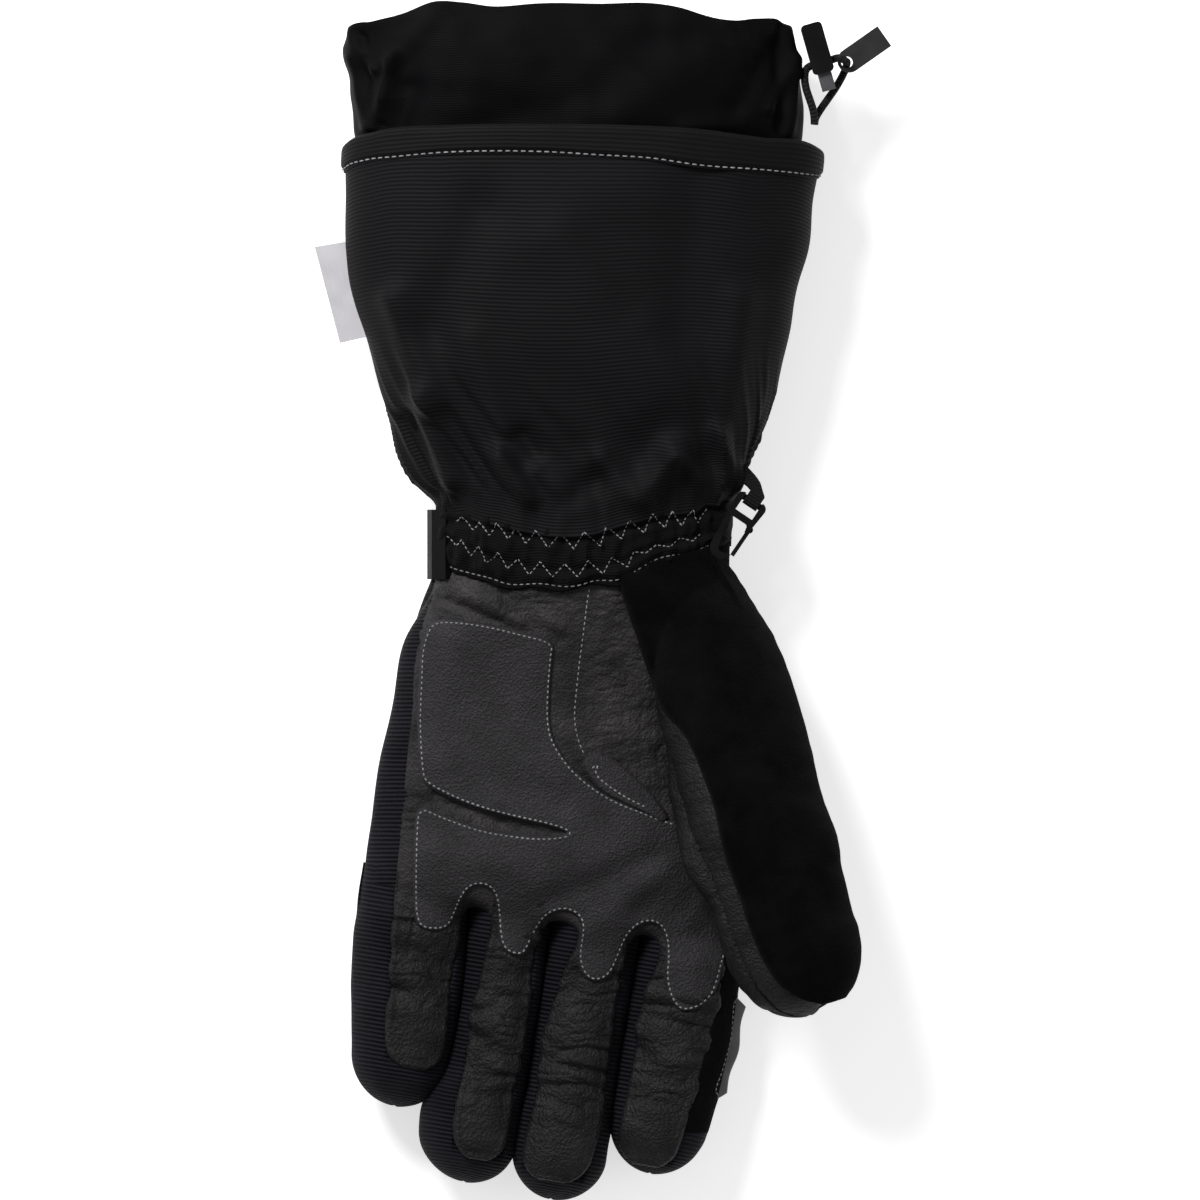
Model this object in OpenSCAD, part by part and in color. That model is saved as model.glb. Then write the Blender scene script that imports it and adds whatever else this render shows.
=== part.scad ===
// Long-gauntlet ski glove, left hand, lying on its back with the palm up.
// Fingers point to -Y, the cuff opens to +Y, the thumb is on +X, and the table is at Z = 0.
// Every soft layer is a wall between two insets of one outer skin, so the layers always nest.

/* [Hand] */
// Width of the hand at the wrist seam
wrist_w = 98; // [90:1:106]
// Thickness of the hand at the wrist seam
wrist_t = 40; // [36:1:44]
// Length from the wrist seam to the knuckle line, on the hand's middle
palm_len = 110; // [104:1:118]
// Thickness of the padded palm
palm_t = 37; // [34:0.5:40]
// Slope of the knuckle line, and so of the fingers, which leave it square
knuckle_tilt = 9.5; // [7:0.5:12]

/* [Fingers] */
// Width of the little finger with its outer gusset
little_w = 36.5; // [34:0.5:39]
// Width of the ring finger
ring_w = 27; // [25:0.5:30]
// Width of the middle finger
middle_w = 29.5; // [27:0.5:32]
// Width of the index finger
index_w = 33.5; // [30:0.5:36]
// Length of the little finger from the knuckle line
little_len = 70; // [65:1:75]
// Length of the ring finger from the knuckle line
ring_len = 91; // [84:1:96]
// Length of the middle finger from the knuckle line
middle_len = 92; // [86:1:98]
// Length of the index finger from the knuckle line
index_len = 77; // [72:1:82]
// Thickness of every finger
finger_t = 28; // [26:0.5:30]
// Space between neighbouring fingers
finger_gap = 0.8; // [0.6:0.1:1.4]
// Length of the soft zone that folds at each middle joint
flex_len = 17; // [16:0.5:20]

/* [Thumb] */
// Width of the thumb at its middle
thumb_w = 45; // [41:0.5:48]
// Thickness of the thumb
thumb_t = 32; // [29:0.5:34]
// Length of the thumb from the wrist seam to its tip
thumb_len = 142; // [136:1:148]

/* [Cuff] */
// Length of the gauntlet from the wrist seam to its hem
gauntlet_len = 154; // [140:1:170]
// Width of the gauntlet at its hem
mouth_w = 156; // [146:1:166]
// Thickness of the gauntlet at its hem
mouth_t = 58; // [52:1:64]
// Length of the gathered elastic band at the wrist
band_len = 29; // [24:1:34]
// Length of the snow cuff that shows past the hem
cuff_out = 42; // [36:1:50]
// Depth of the snow cuff inside the gauntlet
cuff_in = 40; // [30:1:50]
// Height of the hem binding
hem_h = 13; // [10:0.5:16]

/* [Layers] */
// Thickness of the outer shell fabric and leather
shell_t = 1.6; // [1.2:0.1:2]
// Thickness of the insulation
fill_t = 2.8; // [2:0.1:3.2]
// Thickness of the fleece lining
lining_t = 0.9; // [0.7:0.1:1.2]
// Thickness of an overlaid patch
patch_t = 1.1; // [0.8:0.1:1.5]
// Thickness of the rubber guard on the index finger
guard_t = 2; // [1.5:0.1:2.6]
// Gap between two layers that lie on each other
layer_gap = 0.3; // [0.2:0.05:0.4]

/* [Hardware] */
// Width of the wrist strap
strap_w = 22; // [18:1:25]
// Thickness of the wrist strap
strap_t = 1.6; // [1.2:0.1:2]
// Thickness of the moulded strap tab
tab_t = 3; // [2.5:0.1:3.5]
// Overall length of the snap hook
hook_len = 23; // [21:0.5:25]
// Overall width of the snap hook
hook_w = 11; // [10.5:0.5:13]
// Thickness of the snap hook
hook_t = 3.6; // [3.2:0.1:4]
// Radius of the snap hook's top bar
hook_bar_r = 1.1; // [1:0.05:1.3]
// Length of the cord lock's body
lock_len = 17; // [15:0.5:19]
// Width of the cord lock's body
lock_w = 7.2; // [7:0.1:8]
// Thickness of the cord lock's body
lock_t = 8.4; // [8:0.1:9]
// Diameter of the drawcord
cord_d = 2.6; // [2.2:0.1:2.8]
// Travel of the cord lock's button
button_travel = 3; // [2:0.1:3.4]
// Length of the drawcord's pull tab
pull_len = 18.2; // [17:0.1:22]
// Width of the drawcord's pull tab
pull_w = 8; // [7:0.1:9]
// Length of the sewn-in label
label_len = 32; // [28:1:38]
// Width of the label that shows past the seam
label_w = 11; // [8:0.5:14]

/* [Hidden] */

little = 0;
ring = 1;
middle = 2;
index = 3;

// The wrist seam crosses the hand here, so that the whole glove is centred on the origin.
wrist_y = 4;
hand_x = -6;            // the wrist's middle
knuckle_x = -16.3;      // the middle of the knuckle line
palm_sides = 24;        // facets round the palm and the cuff
finger_sides = 12;      // facets round a finger
palm_power = 2.3;       // squareness of the palm's section, where 2 is an ellipse
finger_power = 2.2;

fill_in = shell_t + layer_gap;                 // inset of the insulation's outer face
fill_end = fill_in + fill_t;
lining_in = fill_end + layer_gap;
wall = lining_in + lining_t;                   // the whole wall, from skin to hand space

finger_w = [little_w, ring_w, middle_w, index_w];
finger_len = [little_len, ring_len, middle_len, index_len];
bend_at = [21, 28, 31, 23];                    // middle joint, from the knuckle line
taper = [0.052, 0, 0, 0.012];                  // how fast each side of a finger closes in
drift = [0.052, 0, 0, 0.012];                  // how fast its middle swings back towards the thumb
knuckles_w = little_w + ring_w + middle_w + index_w + 3 * finger_gap;
knuckle_y = wrist_y - palm_len;
finger_z = finger_t / 2 + 2.5;                 // height of a finger's middle
dome = 15;                                     // length of a rounded fingertip
rise = 0.045;                                  // how fast the relaxed fingertips lift off the table
flat_back = 0.94;                              // the sections are cut flat below at this share
seam_gap = 0.1;                                // space where a folding zone meets its neighbours

function before(i) = i == 0 ? 0 : finger_w[i - 1] + finger_gap + before(i - 1);
// All fingers share one heading, so each bends in its own slab and never crosses its neighbour's.
heading = -90 - knuckle_tilt;
function along(i, s) =
    let (across = before(i) + (finger_w[i] - knuckles_w) / 2 + drift[i] * s)
    [
        knuckle_x + across * cos(knuckle_tilt) + s * cos(heading),
        knuckle_y - across * sin(knuckle_tilt) + s * sin(heading),
        finger_z + rise * max(0, s - bend_at[i])
    ];

// A station is [x, y, z, heading, half width, half thickness]: one section of a limb.
function section(st, inset, sides, power) = [
    for (j = [0 : sides - 1])
        let (
            a = 360 * j / sides,
            w = (st[4] - inset) * sign(cos(a)) * pow(abs(cos(a)), 2 / power),
            u = (st[5] - inset) * sign(sin(a)) * pow(abs(sin(a)), 2 / power)
        )
        [
            st[0] - sin(st[3]) * w, st[1] + cos(st[3]) * w,
            st[2] + max(u, inset - st[5] * flat_back)
        ]
];

// Rounds off the end of a limb whose last station is st, with the wall's inset kept at the tip.
function domed(st, length, inset) = [
    for (a = [25, 48, 66, 80])
        let (s = (length - inset) * sin(a), k = cos(a))
        [
            st[0] + s * cos(st[3]), st[1] + s * sin(st[3]), st[2] + rise * s, st[3],
            (st[4] - inset) * k + inset, (st[5] - inset) * k + inset
        ]
];

function tri2(a, b, c, d) = [[a, b, c], [a, c, d]];
function flat(lists) = [for (l = lists) for (x = l) x];

// A wall between the sections outer[i][j] and inner[i][j], made only where cells(i, j) is true.
module wall_panel(outer, inner, cells, closed_tip = false) {
    rows = len(outer) - 1;
    sides = len(outer[0]);
    count = (rows + 1) * sides;
    function o(i, j) = i * sides + (j + sides) % sides;
    function n(i, j) = count + o(i, j);
    function cell(i, j) =
        i < 0 ? false : i >= rows ? closed_tip : cells(i, (j + sides) % sides);
    faces = flat([
        for (i = [0 : rows - 1])
            for (j = [0 : sides - 1])
                if (cell(i, j))
                    concat(
                        tri2(o(i, j), o(i + 1, j), o(i + 1, j + 1), o(i, j + 1)),
                        tri2(n(i, j), n(i, j + 1), n(i + 1, j + 1), n(i + 1, j)),
                        cell(i - 1, j) ? [] : tri2(o(i, j), o(i, j + 1), n(i, j + 1), n(i, j)),
                        cell(i + 1, j) ? []
                            : tri2(o(i + 1, j + 1), o(i + 1, j), n(i + 1, j), n(i + 1, j + 1)),
                        cell(i, j - 1) ? [] : tri2(o(i + 1, j), o(i, j), n(i, j), n(i + 1, j)),
                        cell(i, j + 1) ? []
                            : tri2(o(i, j + 1), o(i + 1, j + 1), n(i + 1, j + 1), n(i, j + 1))
                    )
    ]);
    tips = !closed_tip ? [] : [
        [for (j = [sides - 1 : -1 : 0]) o(rows, j)],
        [for (j = [0 : sides - 1]) n(rows, j)]
    ];
    polyhedron(concat(flat(outer), flat(inner)), concat(faces, tips), convexity = 8);
}

// A closed solid through the sections, used to cut one limb out of another.
module limb_solid(sections) {
    rows = len(sections) - 1;
    sides = len(sections[0]);
    function o(i, j) = i * sides + (j + sides) % sides;
    polyhedron(flat(sections), concat(
        [[for (j = [0 : sides - 1]) o(0, j)], [for (j = [sides - 1 : -1 : 0]) o(rows, j)]],
        flat([
            for (i = [0 : rows - 1])
                for (j = [0 : sides - 1])
                    tri2(o(i, j), o(i + 1, j), o(i + 1, j + 1), o(i, j + 1))
        ])
    ), convexity = 8);
}

everywhere = function (i, j) true;

/* ---- the palm tube, from the wrist seam to the knuckle line ---- */

wrist_lift = 3;                    // the wrist's underside clears the table by this much
// [share of the palm's length, share of the wrist's widening to the knuckles, half thickness]
palm_rows = [
    [0, 0, wrist_t / 2], [0.16, 0.41, palm_t / 2 + 0.7], [0.34, 0.55, palm_t / 2],
    [0.53, 0.74, palm_t / 2], [0.72, 0.84, palm_t / 2], [0.86, 0.92, palm_t / 2],
    [1, 1, finger_t / 2 + 1]
];
palm_stations = [
    for (p = palm_rows)
        let (last = p[0] == 1)
        [
            hand_x + (knuckle_x - hand_x) * p[1], wrist_y - palm_len * p[0],
            last ? finger_z : p[2] * flat_back + wrist_lift * max(0, 1 - 3 * p[0]),
            last ? heading : -90, (wrist_w + (knuckles_w - wrist_w) * p[1]) / 2, p[2]
        ]
];
function palm(inset) = [for (st = palm_stations) section(st, inset, palm_sides, palm_power)];

thumb_side = 2;                    // facets on +X, counted from the middle of the side
little_side = palm_sides / 2 - 2;
front_facet = function (i, j) j >= thumb_side && j < little_side;
back_facet = function (i, j) j >= palm_sides / 2 + 2 && j < palm_sides - 2;
outer_facet = function (i, j) j >= little_side && j < palm_sides / 2 + 2;
inner_facet = function (i, j) j >= palm_sides - 2 || j < thumb_side;

module palm_solid(grow = 0) limb_solid(palm(-grow));

/* ---- the thumb, from the wrist seam to its tip ---- */

thumb_bend_at = 69;                // joint of the thumb, from the wrist seam along the limb
thumb_lean = 15.5;                 // the thumb's slant away from the fingers
thumb_x = hand_x + wrist_w / 2 - 12.5;   // where its middle line leaves the wrist seam
thumb_rise_end = 81;               // it climbs over the palm up to here, and then runs level
function thumb_point(s) = [
    thumb_x + s * sin(thumb_lean), wrist_y - s * cos(thumb_lean),
    palm_t - thumb_t / 2 + 3 + 0.245 * min(s, thumb_rise_end)
];
// The root is narrow, because it grows out of the palm's side.
function thumb_share(s) = s < 45 ? 0.6 + 0.4 * sin(2 * s) : 1;
function thumb_station(s) = let (p = thumb_point(s))
    [p[0], p[1], p[2], -90 + thumb_lean, thumb_w / 2 * thumb_share(s), thumb_t / 2];
thumb_base_s = [5, 17, 31, 46, thumb_bend_at - flex_len / 2 - seam_gap];
thumb_bend_s = [thumb_bend_at - flex_len / 2, thumb_bend_at, thumb_bend_at + flex_len / 2];
thumb_tip_dome = 26;
thumb_end = thumb_len / cos(thumb_lean);
thumb_tip_s = [
    thumb_bend_at + flex_len / 2 + seam_gap, (thumb_bend_at + thumb_end) / 2 - 8,
    thumb_end - thumb_tip_dome
];
function thumb_sections(list, inset) =
    [for (s = list) section(thumb_station(s), inset, finger_sides, finger_power)];
function thumb_tip(inset) = concat(
    thumb_sections(thumb_tip_s, inset),
    [for (st = domed(thumb_station(thumb_tip_s[2]), thumb_tip_dome, inset))
        section(st, inset, finger_sides, finger_power)]
);
module thumb_base_solid(grow = 0) limb_solid(thumb_sections(thumb_base_s, -grow));

/* ---- the fingers ---- */

function finger_station(i, s) = let (p = along(i, s))
    [
        p[0], p[1], p[2], heading, finger_w[i] / 2 - taper[i] * s, finger_t / 2
    ];
function finger_sections(i, list, inset) =
    [for (s = list) section(finger_station(i, s), inset, finger_sides, finger_power)];
function base_s(i) = [layer_gap, bend_at[i] - flex_len / 2 - seam_gap];
function bend_s(i) = [bend_at[i] - flex_len / 2, bend_at[i], bend_at[i] + flex_len / 2];
function tip_s(i) = let (start = bend_at[i] + flex_len / 2 + seam_gap, end = finger_len[i] - dome)
    [start, (start + end) / 2, end];
function finger_tip(i, inset) = concat(
    finger_sections(i, tip_s(i), inset),
    [for (st = domed(finger_station(i, tip_s(i)[2]), dome, inset))
        section(st, inset, finger_sides, finger_power)]
);
// The leather covers the front of a finger up to the start of its rounded tip.
leather_facet = function (i, j) i < 3 && j >= 1 && j < finger_sides / 2 - 1;
softshell_facet = function (i, j) !(i < 3 && j >= 1 && j < finger_sides / 2 - 1);

module finger_bases(inset, end, cells) {
    for (i = [little : index])
        wall_panel(finger_sections(i, base_s(i), inset), finger_sections(i, base_s(i), end), cells);
}
module fingertip(i, inset, end, cells, closed) {
    wall_panel(finger_tip(i, inset), finger_tip(i, end), cells, closed);
}
module finger_bend(i) {
    color("#232328")
        wall_panel(finger_sections(i, bend_s(i), 0), finger_sections(i, bend_s(i), wall), everywhere);
}

/* ---- the hand ---- */

module palm_layer(inset, end, cells) {
    difference() {
        wall_panel(palm(inset), palm(end), cells);
        thumb_base_solid(layer_gap);
    }
}
module palm_leather() color("#2e2c2e") palm_layer(0, shell_t, front_facet);
module back_softshell() color("#1b1b20") wall_panel(palm(0), palm(shell_t), back_facet);
module outer_side_gusset() color("#1f2026") wall_panel(palm(0), palm(shell_t), outer_facet);
module index_side_gusset() color("#1b1b20") palm_layer(0, shell_t, inner_facet);
module hand_insulation() color("#d8d8d4") palm_layer(fill_in, fill_end, everywhere);
module hand_lining() color("#3a3a3e") palm_layer(lining_in, wall, everywhere);

patch_facet = function (i, j) i >= 1 && j >= 6 && j < little_side;
module palm_patch() color("#343134") {
    difference() {
        wall_panel(palm(-layer_gap - patch_t), palm(-layer_gap), patch_facet);
        thumb_base_solid(layer_gap);
    }
}
module thumb_crotch_patch() color("#2e2c2e") {
    crotch_facet = function (i, j) i >= 3 && i < 4 && j >= 4 && j < 6;
    difference() {
        wall_panel(palm(-layer_gap - patch_t), palm(-layer_gap), crotch_facet);
        thumb_base_solid(2 * layer_gap + patch_t);
    }
}

module finger_base_leather() color("#2e2c2e")
    finger_bases(0, shell_t, function (i, j) j >= 1 && j < finger_sides / 2 - 1);
module finger_base_fourchettes() color("#1f2026")
    finger_bases(0, shell_t, function (i, j) j < 1 || j >= finger_sides / 2 - 1);
module finger_base_lining() color("#3a3a3e") finger_bases(fill_in, wall, everywhere);

module index_side_panel() color("#1a1a1c") {
    side = function (i, j) i < 3 && (j >= finger_sides - 1 || j < 1);
    wall_panel(finger_tip(index, -layer_gap - patch_t), finger_tip(index, -layer_gap), side);
}
module index_rubber_guard() color("#5c5b5e") {
    guard = function (i, j) i < 2 && (j >= finger_sides - 1 || j < 1);
    skin = 2 * layer_gap + patch_t;
    wall_panel(finger_tip(index, -skin - guard_t), finger_tip(index, -skin), guard);
}

/* ---- the thumb's pieces ---- */

module thumb_base_layer(inset, end, cells) {
    difference() {
        wall_panel(thumb_sections(thumb_base_s, inset), thumb_sections(thumb_base_s, end), cells);
        palm_solid(0);
    }
}
module thumb_base_suede() color("#0e0e0e") thumb_base_layer(0, shell_t, everywhere);
module thumb_base_lining() color("#3a3a3e") thumb_base_layer(fill_in, wall, everywhere);
module thumb_bend() color("#0e0e0e") {
    difference() {
        wall_panel(thumb_sections(thumb_bend_s, 0), thumb_sections(thumb_bend_s, wall), everywhere);
        palm_solid(layer_gap);
    }
}
suede_facet = function (i, j) j < finger_sides / 2 - 1;
thumb_leather_facet = function (i, j) j >= finger_sides / 2 - 1;
module thumb_suede() color("#0e0e0e") wall_panel(thumb_tip(0), thumb_tip(shell_t), suede_facet);
module thumb_leather() color("#2e2c2e")
    wall_panel(thumb_tip(0), thumb_tip(shell_t), thumb_leather_facet);
module thumb_insulation() color("#d8d8d4")
    wall_panel(thumb_tip(fill_in), thumb_tip(fill_end), everywhere, true);
module thumb_lining() color("#3a3a3e")
    wall_panel(thumb_tip(lining_in), thumb_tip(wall), everywhere, true);

/* ---- the wrist band and the gauntlet, from the mouth down to the wrist seam ---- */

nylon_t = shell_t * 0.75;          // the gauntlet's cloth is thinner than the hand's
gauntlet_y = wrist_y + gauntlet_len;
hem_x = -5.3;
mouth_z = mouth_t / 2 * flat_back + patch_t;      // height of the mouth's middle
// [share of the gauntlet's length from the hem, of its width, of its thickness, sideways shift as
// a share of its width]
gauntlet_rows = [
    [0, 1, 1, 0], [0.16, 1.01, 1, -0.008], [0.34, 0.96, 0.98, -0.022], [0.5, 0.885, 0.94, -0.01],
    [0.64, 0.8, 0.86, -0.012], [0.745, 0.715, 0.78, -0.014], [0.81, 0.645, 0.7, 0.0064]
];
gauntlet_stations = [
    for (g = gauntlet_rows)
        [
            hem_x + mouth_w * g[3], gauntlet_y - gauntlet_len * g[0],
            mouth_t * g[2] / 2 * flat_back + patch_t, -90, mouth_w * g[1] / 2, mouth_t * g[2] / 2
        ]
];
function gauntlet_at(y, k = 1) =
    k < len(gauntlet_stations) - 1 && gauntlet_stations[k][1] > y ? gauntlet_at(y, k + 1)
    : let (a = gauntlet_stations[k - 1], b = gauntlet_stations[k])
        a + (b - a) * (a[1] - y) / (a[1] - b[1]);
function gauntlet(inset) =
    [for (st = gauntlet_stations) section(st, inset, palm_sides, palm_power)];
wrist_z = wrist_t / 2 * flat_back + wrist_lift;
function band_station(y, x, waist) =
    [x, y, wrist_z, -90, wrist_w / 2 - waist, wrist_t / 2 - waist / 3];
band_stations = [
    band_station(wrist_y + band_len, hem_x + 0.6, 0), band_station(wrist_y + band_len / 2, hem_x, 1.5),
    band_station(wrist_y + layer_gap, hand_x, 0)
];
function band(inset) = [for (st = band_stations) section(st, inset, palm_sides, palm_power)];

module wrist_elastic_band() color("#17171a") wall_panel(band(0), band(wall), everywhere);
module gauntlet_shell() color("#1a191b")
    wall_panel(gauntlet(0), gauntlet(nylon_t), everywhere);
module gauntlet_lining() color("#26262a")
    wall_panel(gauntlet(nylon_t + layer_gap), gauntlet(nylon_t + layer_gap + lining_t), everywhere);
function hoop(stations, inset) = [for (st = stations) section(st, inset, palm_sides, palm_power)];
module gauntlet_hem() color("#1c1b1e") {
    first = gauntlet_stations[0];
    top = [first[0], first[1] - 1, first[2], -90, first[4], first[5]];
    low = gauntlet_at(gauntlet_y - hem_h);
    wall_panel(hoop([top, low], -patch_t), hoop([top, low], -layer_gap / 3), everywhere);
}

cuff_wall = 1;
cuff_inset = nylon_t + 2 * layer_gap + lining_t;
room = mouth_w / 2 - cuff_inset;                 // half the width inside the gauntlet's lining
// [share of what shows past the hem, half width less the room as a share of the mouth's width,
// share of the half thickness, sideways shift as a share of the mouth's width]
cuff_rows = [
    [0.97, -0.083, 0.62, -0.0096], [0.9, -0.026, 0.76, -0.019], [0.76, -0.0064, 0.86, -0.026],
    [0.55, 0, 0.92, -0.026], [0.3, 0, 0.93, -0.017], [0.1, -0.004, 0.93, -0.0096],
    [0, -0.0083, 0.93, -0.0026]
];
cuff_stations = concat(
    [
        for (c = cuff_rows)
            [
                hem_x + mouth_w * c[3], gauntlet_y + cuff_out * c[0], mouth_z, -90,
                room + mouth_w * c[1], (mouth_t / 2 - cuff_inset) * c[2]
            ]
    ],
    [let (g = gauntlet_at(gauntlet_y - cuff_in))
        [g[0], g[1], g[2], -90, g[4] - cuff_inset, g[5] - cuff_inset]]
);
function cuff(inset) = [for (st = cuff_stations) section(st, inset, palm_sides, palm_power)];
module snow_cuff() color("#161518") wall_panel(cuff(0), cuff(cuff_wall), everywhere);
module snow_cuff_hem() color("#161518") {
    rim = cuff_stations[0];
    start = [rim[0], rim[1] + layer_gap, rim[2], -90, rim[4], rim[5]];
    end = [rim[0], gauntlet_y + cuff_out, rim[2], -90, rim[4] - 6, rim[5] - 2];
    wall_panel(hoop([end, start], 0), hoop([end, start], cuff_wall + 0.8), everywhere);
}

module label() color("#d9d7da") {
    // It comes out of the side seam on the little finger's side, and lies along it.
    label_turn = 14.5;
    label_top = gauntlet_y - 40;
    seam_in = 4;
    difference() {
        translate([hem_x - mouth_w / 2 - 1.2, label_top, gauntlet_stations[2][2]])
            rotate([0, 0, label_turn])
                translate([-label_w, -label_len, -0.4])
                    cube([label_w + seam_in, label_len, 0.8]);
        limb_solid(gauntlet(-layer_gap));
    }
}

/* ---- the wrist strap ---- */

strap_mid = wrist_y + band_len / 2;
function strap_rows(inset, half) = [
    for (y = [strap_mid + half, strap_mid - half])
        section([hem_x, y, wrist_z, -90, wrist_w / 2, wrist_t / 2], inset, palm_sides, palm_power)
];
module wrist_strap() color("#141416") {
    back = function (i, j) j >= palm_sides / 2 + 1 && j < palm_sides - 3;
    // It ends just below the tab, which peels away from it.
    top = wrist_z - wrist_t / 2 * pow(sin(15), 2 / palm_power) - layer_gap;
    difference() {
        wall_panel(
            strap_rows(-layer_gap - strap_t, strap_w / 2), strap_rows(-layer_gap, strap_w / 2), back
        );
        translate([-mouth_w, strap_mid - strap_w, top]) cube([2 * mouth_w, 2 * strap_w, mouth_t]);
    }
}
module strap_tab() color("#1d1d1f") {
    side = function (i, j) j >= palm_sides / 2 - 2 && j < palm_sides / 2 + 1;
    half = strap_w / 2 + 0.6;
    wall_panel(strap_rows(-layer_gap - tab_t, half), strap_rows(-layer_gap, half), side);
}

/* ---- the snap hook on its webbing ---- */

hook_at = [50.6, wrist_y + 28.6, 38];   // the middle of the hook's top bar
hook_turn = -34;                        // how far the hook leans
hook_rim = 2.2;                         // width of the hook's side arms
eye_h = 5;                              // from the bar's middle to the eye's far end
throat_top = eye_h + 2.6;
throat_end = hook_len - hook_bar_r - 2.4;
pin_r = 0.6;
running_gap = 0.15;
gate_t = 1.4;                           // the gate's width across the hook's plane
knuckle_t = 1.2;                        // thickness of the gate's knuckle in its slot
gate_x = hook_w / 2 - hook_rim / 2;
gate_y = -throat_top - 0.6;
gate_len = throat_end - throat_top - 1.6;
webbing_t = 0.8;
webbing_w = hook_w - 2 * hook_rim - 1.2;
webbing_bore = hook_bar_r + 0.1;
webbing_half = webbing_bore + webbing_t;
module at_hook() translate(hook_at) rotate([0, 0, hook_turn]) children();
module hook_outline() {
    hull() {
        for (x = [-1, 1])
            translate([x * (hook_w / 2 - hook_rim), hook_bar_r + 0.4 - hook_rim])
                circle(hook_rim, $fn = 32);
        translate([0, -throat_end + 1.6]) circle(4, $fn = 32);
    }
}
module hook_body() color("#262626") at_hook() {
    eye_w = hook_w - 2 * hook_rim;
    difference() {
        linear_extrude(hook_t, center = true)
            difference() {
                hook_outline();
                translate([-eye_w / 2, -eye_h]) square([eye_w, eye_h + 3]);
                hull() {
                    translate([-eye_w / 2 + 1.2, -throat_top - 1]) circle(1.2, $fn = 32);
                    translate([0.4, -throat_end + 1.6]) circle(1.6, $fn = 32);
                    translate([gate_x - gate_t, -throat_end + 2]) circle(1.2, $fn = 32);
                    translate([eye_w / 2 - 1.2, -throat_top - 1]) circle(1.2, $fn = 32);
                }
                translate([gate_x - gate_t, gate_y - gate_len - running_gap])
                    square([2 * gate_t + 2, gate_len - 1.6 + running_gap]);
            }
        // the gate's slot and its pin
        translate([gate_x - 2.4, gate_y - 2, -knuckle_t / 2 - running_gap])
            cube([4.8, 3.8, knuckle_t + 2 * running_gap]);
        translate([gate_x, gate_y, 0])
            cylinder(r = pin_r + 0.05, h = hook_t + 1, center = true, $fn = 32);
    }
    rotate([0, 90, 0]) cylinder(r = hook_bar_r, h = eye_w + 0.2, center = true, $fn = 48);
}
module hook_gate() color("#303030") at_hook() translate([gate_x, gate_y, 0]) {
    cylinder(r = pin_r, h = hook_t, center = true, $fn = 32);
    cylinder(r = gate_t * 0.9, h = knuckle_t, center = true, $fn = 32);
    translate([-gate_t / 2, -gate_len * 0.6, -knuckle_t / 2]) cube([gate_t, gate_len * 0.6, knuckle_t]);
    translate([-gate_t / 2, -gate_len, -hook_t / 2]) cube([gate_t, gate_len - 2.2, hook_t]);
}
module hook_webbing() color("#141414") {
    stem = webbing_half + 2.6;
    difference() {
        at_hook() {
            rotate([0, 90, 0]) cylinder(r = webbing_half, h = webbing_w, center = true, $fn = 48);
            translate([-webbing_w / 2, 0, -webbing_half])
                cube([webbing_w, stem, 2 * webbing_half]);
        }
        at_hook() rotate([0, 90, 0])
            cylinder(r = webbing_bore, h = webbing_w + 2, center = true, $fn = 48);
    }
    // the tail runs up to the gauntlet's side seam
    difference() {
        hull() {
            at_hook() translate([-webbing_w / 2, stem - 1, -webbing_half])
                cube([webbing_w, 1, 2 * webbing_half]);
            translate([43.6, wrist_y + 42, hook_at[2] - 5]) rotate([0, 0, 30])
                cube([webbing_w, 2, 2 * webbing_half], center = true);
        }
        limb_solid(gauntlet(-layer_gap));
    }
}

/* ---- the drawcord, its lock and its pull tab ---- */

rim_at = [hem_x + mouth_w / 2, gauntlet_y, mouth_z];   // the hem's edge on the thumb's side
lock_at = rim_at + [-0.4, 25.6, 4.6];    // the middle of the lock's body
lock_turn = 16;
button_w = lock_w - 2.6;
button_t = lock_t - 3;
button_len = 12;
button_out = 6;                          // how far the button stands out of the body
lock_slack = 0.2;
hole_drop = -5;                          // the cord's hole, from the body's middle
spring_room = 2.4;                       // what the spring still holds when the button is pressed
socket = button_len - button_out + button_travel + spring_room;
module at_lock() translate(lock_at) rotate([0, 0, lock_turn]) children();
module cord_lock_body() color("#1f1f21") at_lock() {
    difference() {
        hull()
            for (x = [-1, 1])
                for (y = [-1, 1])
                    translate([x * (lock_w / 2 - 1.5), y * (lock_len / 2 - 1.5), -lock_t / 2])
                        cylinder(r = 1.5, h = lock_t, $fn = 32);
        translate([-button_w / 2 - lock_slack, -lock_len / 2 - 1, -button_t / 2 - lock_slack])
            cube([button_w + 2 * lock_slack, socket + 1, button_t + 2 * lock_slack]);
        translate([0, hole_drop, 0]) rotate([0, 90, 0])
            cylinder(r = cord_d / 2 + lock_slack, h = lock_w + 2, center = true, $fn = 48);
    }
}
module cord_lock_button() color("#4a494b") at_lock() {
    // The hole in the button is longer than the cord by the travel, so the button slides past the cord.
    difference() {
        translate([-button_w / 2, -lock_len / 2 - button_out, -button_t / 2])
            cube([button_w, button_len, button_t]);
        hull()
            for (y = [0, -button_travel])
                translate([0, hole_drop + y, 0]) rotate([0, 90, 0])
                    cylinder(r = cord_d / 2 + lock_slack, h = lock_w + 2, center = true, $fn = 32);
    }
}
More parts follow.
